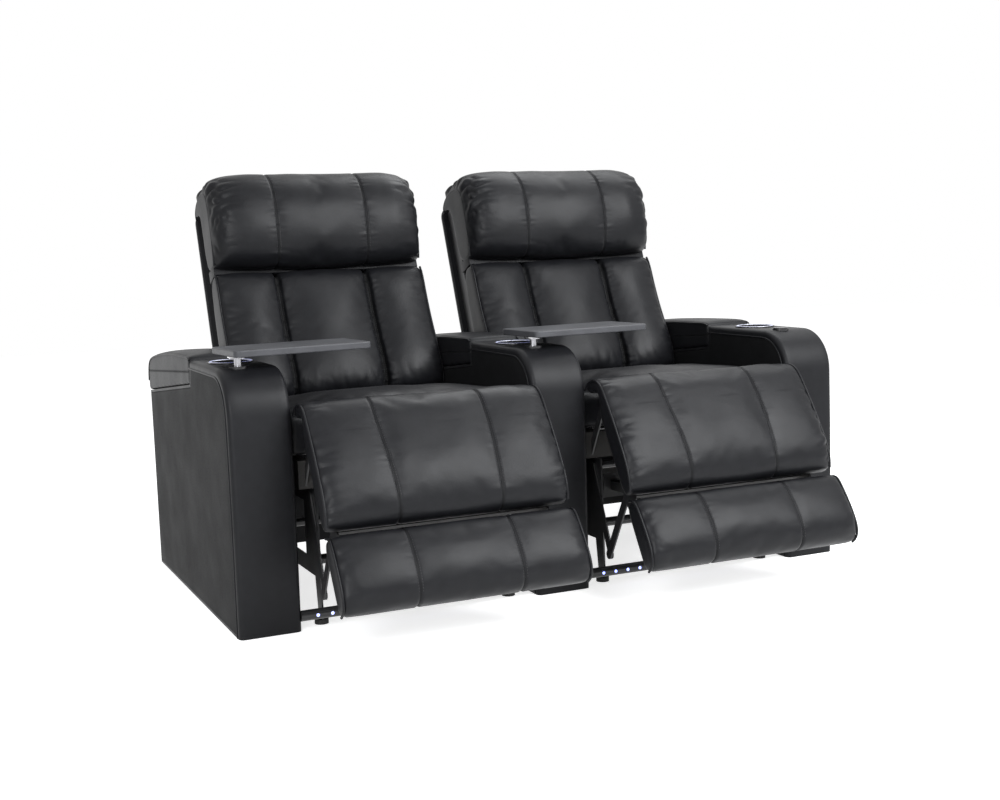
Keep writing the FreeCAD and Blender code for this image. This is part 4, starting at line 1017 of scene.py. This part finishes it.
class RECLINER_OT_lids(bpy.types.Operator):
    """Upholster the three store lids, crowned and piped along both sides."""
    bl_idname = "recliner.lids"
    bl_label = "Store lids"

    def execute(self, context):
        half = [(0.0745, 0.0), (0.0735, 0.30), (0.066, 0.62), (0.050, 0.85), (0.025, 0.97)]
        stations = [(-x, swell) for x, swell in half] + [(0.0, 1.0)] + half[::-1]
        for place_name, x in ARMS.items():
            piece = cage("lid_pad_" + place_name, LID, stations)
            refine(piece, 2)
            remesh(piece, 0.0055)
            relax(piece, 3)
            refine(piece, 1)

            def height(co, normal):
                top = smoothstep(0.2, 0.8, normal.z)
                band = math.exp(-((abs(co.x) - 0.070) / 0.0022) ** 2) * top
                side = math.exp(-((co.z - band_height(co.y)) / 0.0020) ** 2)
                side *= smoothstep(0.6, 0.9, abs(normal.x))
                push = -0.0012 * side + 0.0016 * top * noise.noise(Vector((co.x * 8, co.y * 7, x)))
                # The side groove's mark is where the leather paints shade along that groove.
                return push - 0.0006 * band, max(side, 0.0)

            def band_height(f):
                return 0.5 * (0.6285 - 0.5650) + 0.5650 - 0.112 * (f - 0.39) * 0.62
            work(piece, height)
            piece.data.materials.append(panel_leather())
            piece.data.transform(Matrix.Translation((x, FRONT, 0)))
            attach(piece, "lid_" + place_name)
            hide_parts("lid_" + place_name)
            spots = [(f + dy, z + dz - 0.0005) for f, z, dy, dz in LID[2:13]]
            paths = [[Vector((x + way, FRONT + f, z)) for f, z in spots] for way in (-0.0732, 0.0732)]
            welt = cords("lid_welt_" + place_name, paths, 0.0024)
            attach(welt, "lid_" + place_name)
        return {"FINISHED"}


class RECLINER_OT_panels(bpy.types.Operator):
    """Cover the rear of both backs and the boards behind the seats."""
    bl_idname = "recliner.panels"
    bl_label = "Rear panels"

    def execute(self, context):
        place = lean(BACK_HINGE, shape().back_lean)
        bm = slab([(0.0625, -0.0075), (0.0775, -0.0075), (0.0775, 0.6675), (0.0625, 0.6675)], -0.2995, 0.2995)
        mark = bm.verts.layers.float.new("seam")
        round_edges(bm, lambda e: all(v.co.z > 0.66 for v in e.verts) and
                    abs(e.verts[0].co.x - e.verts[1].co.x) < 1e-4, 0.040, 8)
        for z in (0.22, 0.46):
            faces = [f for f in bm.faces if f.normal.y > 0.99]
            edges = list({e for f in faces for e in f.edges})
            bmesh.ops.bisect_plane(bm, geom=faces + edges + list({v for f in faces for v in f.verts}),
                                   plane_co=(0, 0, z), plane_no=(0, 0, 1))
        round_edges(bm, lambda e: len(e.link_faces) == 2 and e.calc_face_angle(0) > 1.2, 0.0045, 3)
        rear = [f for f in bm.faces if f.normal.y > 0.99 and f.calc_area() > 0.02]
        sewn_panel(bm, rear, 0.0015, 0.0012, mark)
        bmesh.ops.recalc_face_normals(bm, faces=bm.faces)
        piece = to_object(bm, "back_board", panel_leather())
        smooth_by_angle(piece, 50)
        copy_to_seats(piece, "back_board", "back_%s", ("back_panel_%s",), place)

        covers = bmesh.new()
        mark = covers.verts.layers.float.new("seam")
        for x in SEATS.values():
            block(covers, (x - 0.3025, FRONT + 0.7645, 0.0405), (x + 0.3025, FRONT + 0.7800, 0.3615))
        round_edges(covers, lambda e: True, 0.0045, 3)
        rear = [f for f in covers.faces if f.normal.y > 0.99 and f.calc_area() > 0.05]
        sewn_panel(covers, rear, 0.006, 0.0004, mark)
        piece = to_object(covers, "skirt_covers", panel_leather())
        smooth_by_angle(piece, 50)
        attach(piece, "base")
        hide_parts("rear_skirts")
        return {"FINISHED"}


# Hard parts

class RECLINER_OT_cups(bpy.types.Operator):
    """Fit the satin rims on the cup holders, with a glowing ring between them that is a painted highlight of
    the rim.
    """
    bl_idname = "recliner.cups"
    bl_label = "Cup rings"

    def execute(self, context):
        rims, glows = bmesh.new(), bmesh.new()
        for x in ARMS.values():
            spot = Vector((x, FRONT + CUP_AT, 0.628))
            below = spot - Vector((0, 0, 0.0004))
            # Between the two rims, a glowing ring that is a painted highlight of each cup holder's rim.
            ring(glows, spot, 0.0505, 0.0011)
            ring(rims, below, 0.0535, 0.0013)
            ring(rims, below, 0.0468, 0.0012)
        piece = to_object(rims, "cup_rims", plain("Satin steel trim", (0.35, 0.35, 0.37), 0.28, metallic=1.0))
        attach(piece, "base")
        piece = to_object(glows, "cup_rim_painted_glint", lamp_and_painted_glint("Painted rim glint", 0.5))
        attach(piece, "base")
        return {"FINISHED"}


class RECLINER_OT_trays(bpy.types.Operator):
    """Add the plates and screws under the two trays."""
    bl_idname = "recliner.trays"
    bl_label = "Tray plates"

    def execute(self, context):
        for side in SEATS:
            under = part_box("tray_" + side)[0][2]
            post_low, post_high = (Vector(c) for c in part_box("tray_post_" + side))
            centre = (post_low + post_high) / 2
            bm = bmesh.new()
            drum(bm, (centre.x, centre.y, under - 0.0016), 0.024, 0.0032, segments=40)
            for step in range(3):
                turn = math.radians(40 + 120 * step)
                spot = (centre.x + 0.0178 * math.cos(turn), centre.y + 0.0178 * math.sin(turn), under - 0.0040)
                drum(bm, spot, 0.0030, 0.0016, segments=16, end_radius=0.0022)
            bright = plain("Bright steel", (0.62, 0.62, 0.63), 0.18, metallic=1.0)
            piece = to_object(bm, "tray_plate_" + side, bright, smooth=False)
            soften(piece, 0.0005, 2)
            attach(piece, "tray_" + side)
        return {"FINISHED"}


class RECLINER_OT_finishes(bpy.types.Operator):
    """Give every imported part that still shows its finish."""
    bl_idname = "recliner.finishes"
    bl_label = "Finishes of the packed parts"

    def execute(self, context):
        steel = black_steel()
        chrome = plain("Polished steel", (0.38, 0.38, 0.40), 0.22, metallic=1.0, bump=0.04)
        tray = plain("Tray laminate", colours().tray, 0.42, size=0.0009, bump=0.35, specular=0.2)
        cup = plain("Black moulded plastic", (0.011, 0.011, 0.012), 0.22, size=0.002, bump=0.05)
        drive = plain("Drive housing", (0.018, 0.018, 0.019), 0.5, size=0.0009, bump=0.4)
        rubber = plain("Rubber", (0.014, 0.014, 0.014), 0.75, size=0.0007, bump=0.4)
        wire = plain("Zinc wire", (0.42, 0.42, 0.43), 0.35, metallic=1.0)
        bezel = plain("Control trim", (0.02, 0.02, 0.021), 0.32, size=0.0008, bump=0.25)
        button = plain("Button", (0.30, 0.30, 0.31), 0.25, metallic=1.0, bump=0.08)
        boards = plain("Black-stained board", (0.012, 0.011, 0.010), 0.6, size=0.003, bump=0.5)
        finishes = {
            "lid_hinges": steel, "cup_holders": cup, "tray_sockets": cup, "tray_left": tray,
            "tray_right": tray, "tray_post_left": chrome, "tray_post_right": chrome, "control_bezels": bezel,
            "glides": rubber, "led_bars": bezel, "led_lenses": lamp_and_painted_glint("Bar lights", 2.6),
        }
        for seat in SEATS:
            for word in ("open", "close"):
                finishes["button_%s_%s" % (word, seat)] = button
            for base in ("hinge_ears", "mechanism_base", "leg_brackets", "lift_links", "stay_links",
                         "drive_carriage", "recline_rod"):
                finishes["%s_%s" % (base, seat)] = steel
            finishes["drive_unit_" + seat] = drive
            finishes["seat_springs_" + seat] = wire
            finishes["seat_frame_" + seat] = boards
            finishes["back_frame_" + seat] = steel
            finishes["leg_boards_" + seat] = boards
        for name, finish in finishes.items():
            dress(name, finish)
        missing = [name for name, part in NODES.items() if not part.hide_render and name not in finishes]
        if missing:
            raise RuntimeError("no finish for " + ", ".join(missing))
        return {"FINISHED"}


# Studio

CAMERA_SPOT = Vector((-1.570, -3.567, 0.914))
CAMERA_TURN = (math.radians(-24.40), math.radians(6.80), math.radians(-1.86))
CAMERA_FOCUS = 1.386        # the lens, as a share of the sensor's width


def direct_rays(tree):
    """One for rays from the camera, a reflection or a transmission, else nought."""
    rays = tree.nodes.new("ShaderNodeLightPath")
    seen = math_node(tree, "ADD", rays.outputs["Is Camera Ray"], rays.outputs["Is Glossy Ray"], clamp=True)
    return math_node(tree, "ADD", seen, rays.outputs["Is Transmission Ray"], clamp=True)


def backdrop_material():
    """White to the camera and in reflections, with the object's soft shadow kept on the floor."""
    material, tree, shader = shaded("White floor")
    grain = node(tree, "ShaderNodeTexNoise", Scale=3.0, Detail=2.0)
    tree.links.new(tree.nodes.new("ShaderNodeTexCoord").outputs["Object"], grain.inputs["Vector"])
    tree.links.new(fade(tree, grain.outputs["Fac"], 0.3, 0.7, 0.79, 0.81), shader.inputs["Base Color"])
    shader.inputs["Roughness"].default_value = 0.9
    shader.inputs["Specular IOR Level"].default_value = 0.1
    glow = tree.nodes.new("ShaderNodeEmission")
    tree.links.new(math_node(tree, "MULTIPLY", direct_rays(tree), 0.76), glow.inputs["Strength"])
    both = tree.nodes.new("ShaderNodeAddShader")
    tree.links.new(shader.outputs[0], both.inputs[0])
    tree.links.new(glow.outputs[0], both.inputs[1])
    tree.links.new(both.outputs[0], tree.nodes["Material Output"].inputs["Surface"])
    return material


class RECLINER_OT_studio(bpy.types.Operator):
    """Lay the floor, hang the lamps and set the camera."""
    bl_idname = "recliner.studio"
    bl_label = "Studio"

    def execute(self, context):
        scene = context.scene
        scene.view_settings.view_transform = "Standard"
        bm = bmesh.new()
        bmesh.ops.create_grid(bm, x_segments=8, y_segments=8, size=9.0)
        bmesh.ops.translate(bm, vec=(0, 0, -0.0008), verts=bm.verts)
        floor = to_object(bm, "floor", backdrop_material(), smooth=False)

        world = bpy.data.worlds.new("Studio")
        scene.world = world
        world.use_nodes = True
        tree = world.node_tree
        tree.links.new(math_node(tree, "ADD", math_node(tree, "MULTIPLY", direct_rays(tree), 0.6), 0.4),
                       tree.nodes["Background"].inputs["Strength"])
        tree.nodes["Background"].inputs["Color"].default_value = (1, 1, 1, 1)

        target = Vector((0, -0.1, 0.5))
        for name, spot, size, power in (
                ("Key", (1.45, -2.95, 2.75), (2.8, 2.2), 235),
                ("Fill", (-2.5, -3.1, 1.8), (1.2, 2.1), 80),
                ("Top", (1.5, 0.9, 3.4), (2.6, 1.4), 55),
                ("Side", (-2.7, 3.0, 0.55), (1.4, 0.8), 6)):
            light = bpy.data.lights.new(name, "AREA")
            light.shape = "RECTANGLE"
            light.size, light.size_y = size
            light.energy = power
            light.color = (0.97, 0.985, 1.0)
            holder = placed(name, light)
            holder.location = spot
            holder.rotation_euler = (target - Vector(spot)).to_track_quat("-Z", "Y").to_euler()

        azimuth, rise, roll = CAMERA_TURN
        ahead = Vector((-math.sin(azimuth) * math.cos(rise), math.cos(azimuth) * math.cos(rise),
                        -math.sin(rise)))
        right = Vector((math.cos(azimuth), math.sin(azimuth), 0))
        up = right.cross(ahead)
        right, up = (math.cos(roll) * right + math.sin(roll) * up,
                     math.cos(roll) * up - math.sin(roll) * right)
        camera = placed("Camera", bpy.data.cameras.new("Camera"))
        camera.data.sensor_width = 36
        camera.data.lens = CAMERA_FOCUS * 36
        turn = Matrix((right, up, -ahead)).transposed()
        camera.matrix_world = Matrix.Translation(CAMERA_SPOT) @ turn.to_4x4()
        camera.data.clip_end = 100
        scene.camera = camera
        return {"FINISHED"}


OPERATORS = (RECLINER_OT_pillows, RECLINER_OT_backs, RECLINER_OT_seats, RECLINER_OT_chaises, RECLINER_OT_feet,
             RECLINER_OT_arms, RECLINER_OT_lids, RECLINER_OT_panels, RECLINER_OT_cups, RECLINER_OT_trays,
             RECLINER_OT_finishes, RECLINER_OT_studio)


class RECLINER_PT_parts(bpy.types.Panel):
    """Lists the recliner's sizes, colours and the steps that make it."""
    bl_idname = "RECLINER_PT_parts"
    bl_label = "Cinema recliner row"
    bl_space_type = "VIEW_3D"
    bl_region_type = "UI"
    bl_category = "Recliner"

    def draw(self, context):
        for group in (context.scene.recliner_shape, context.scene.recliner_colours):
            box = self.layout.box()
            for name in group.__annotations__:
                box.prop(group, name)
        column = self.layout.column(align=True)
        for step in OPERATORS:
            column.operator(step.bl_idname)


CLASSES = (ReclinerShape, ReclinerColours) + OPERATORS + (RECLINER_PT_parts,)


def register():
    for cls in CLASSES:
        bpy.utils.register_class(cls)
    bpy.types.Scene.recliner_shape = bpy.props.PointerProperty(type=ReclinerShape)
    bpy.types.Scene.recliner_colours = bpy.props.PointerProperty(type=ReclinerColours)


def unregister():
    del bpy.types.Scene.recliner_colours
    del bpy.types.Scene.recliner_shape
    for cls in reversed(CLASSES):
        bpy.utils.unregister_class(cls)


def main():
    register()
    for step in OPERATORS:
        group, name = step.bl_idname.split(".")
        getattr(getattr(bpy.ops, group), name)()


if __name__ == "__main__":
    main()
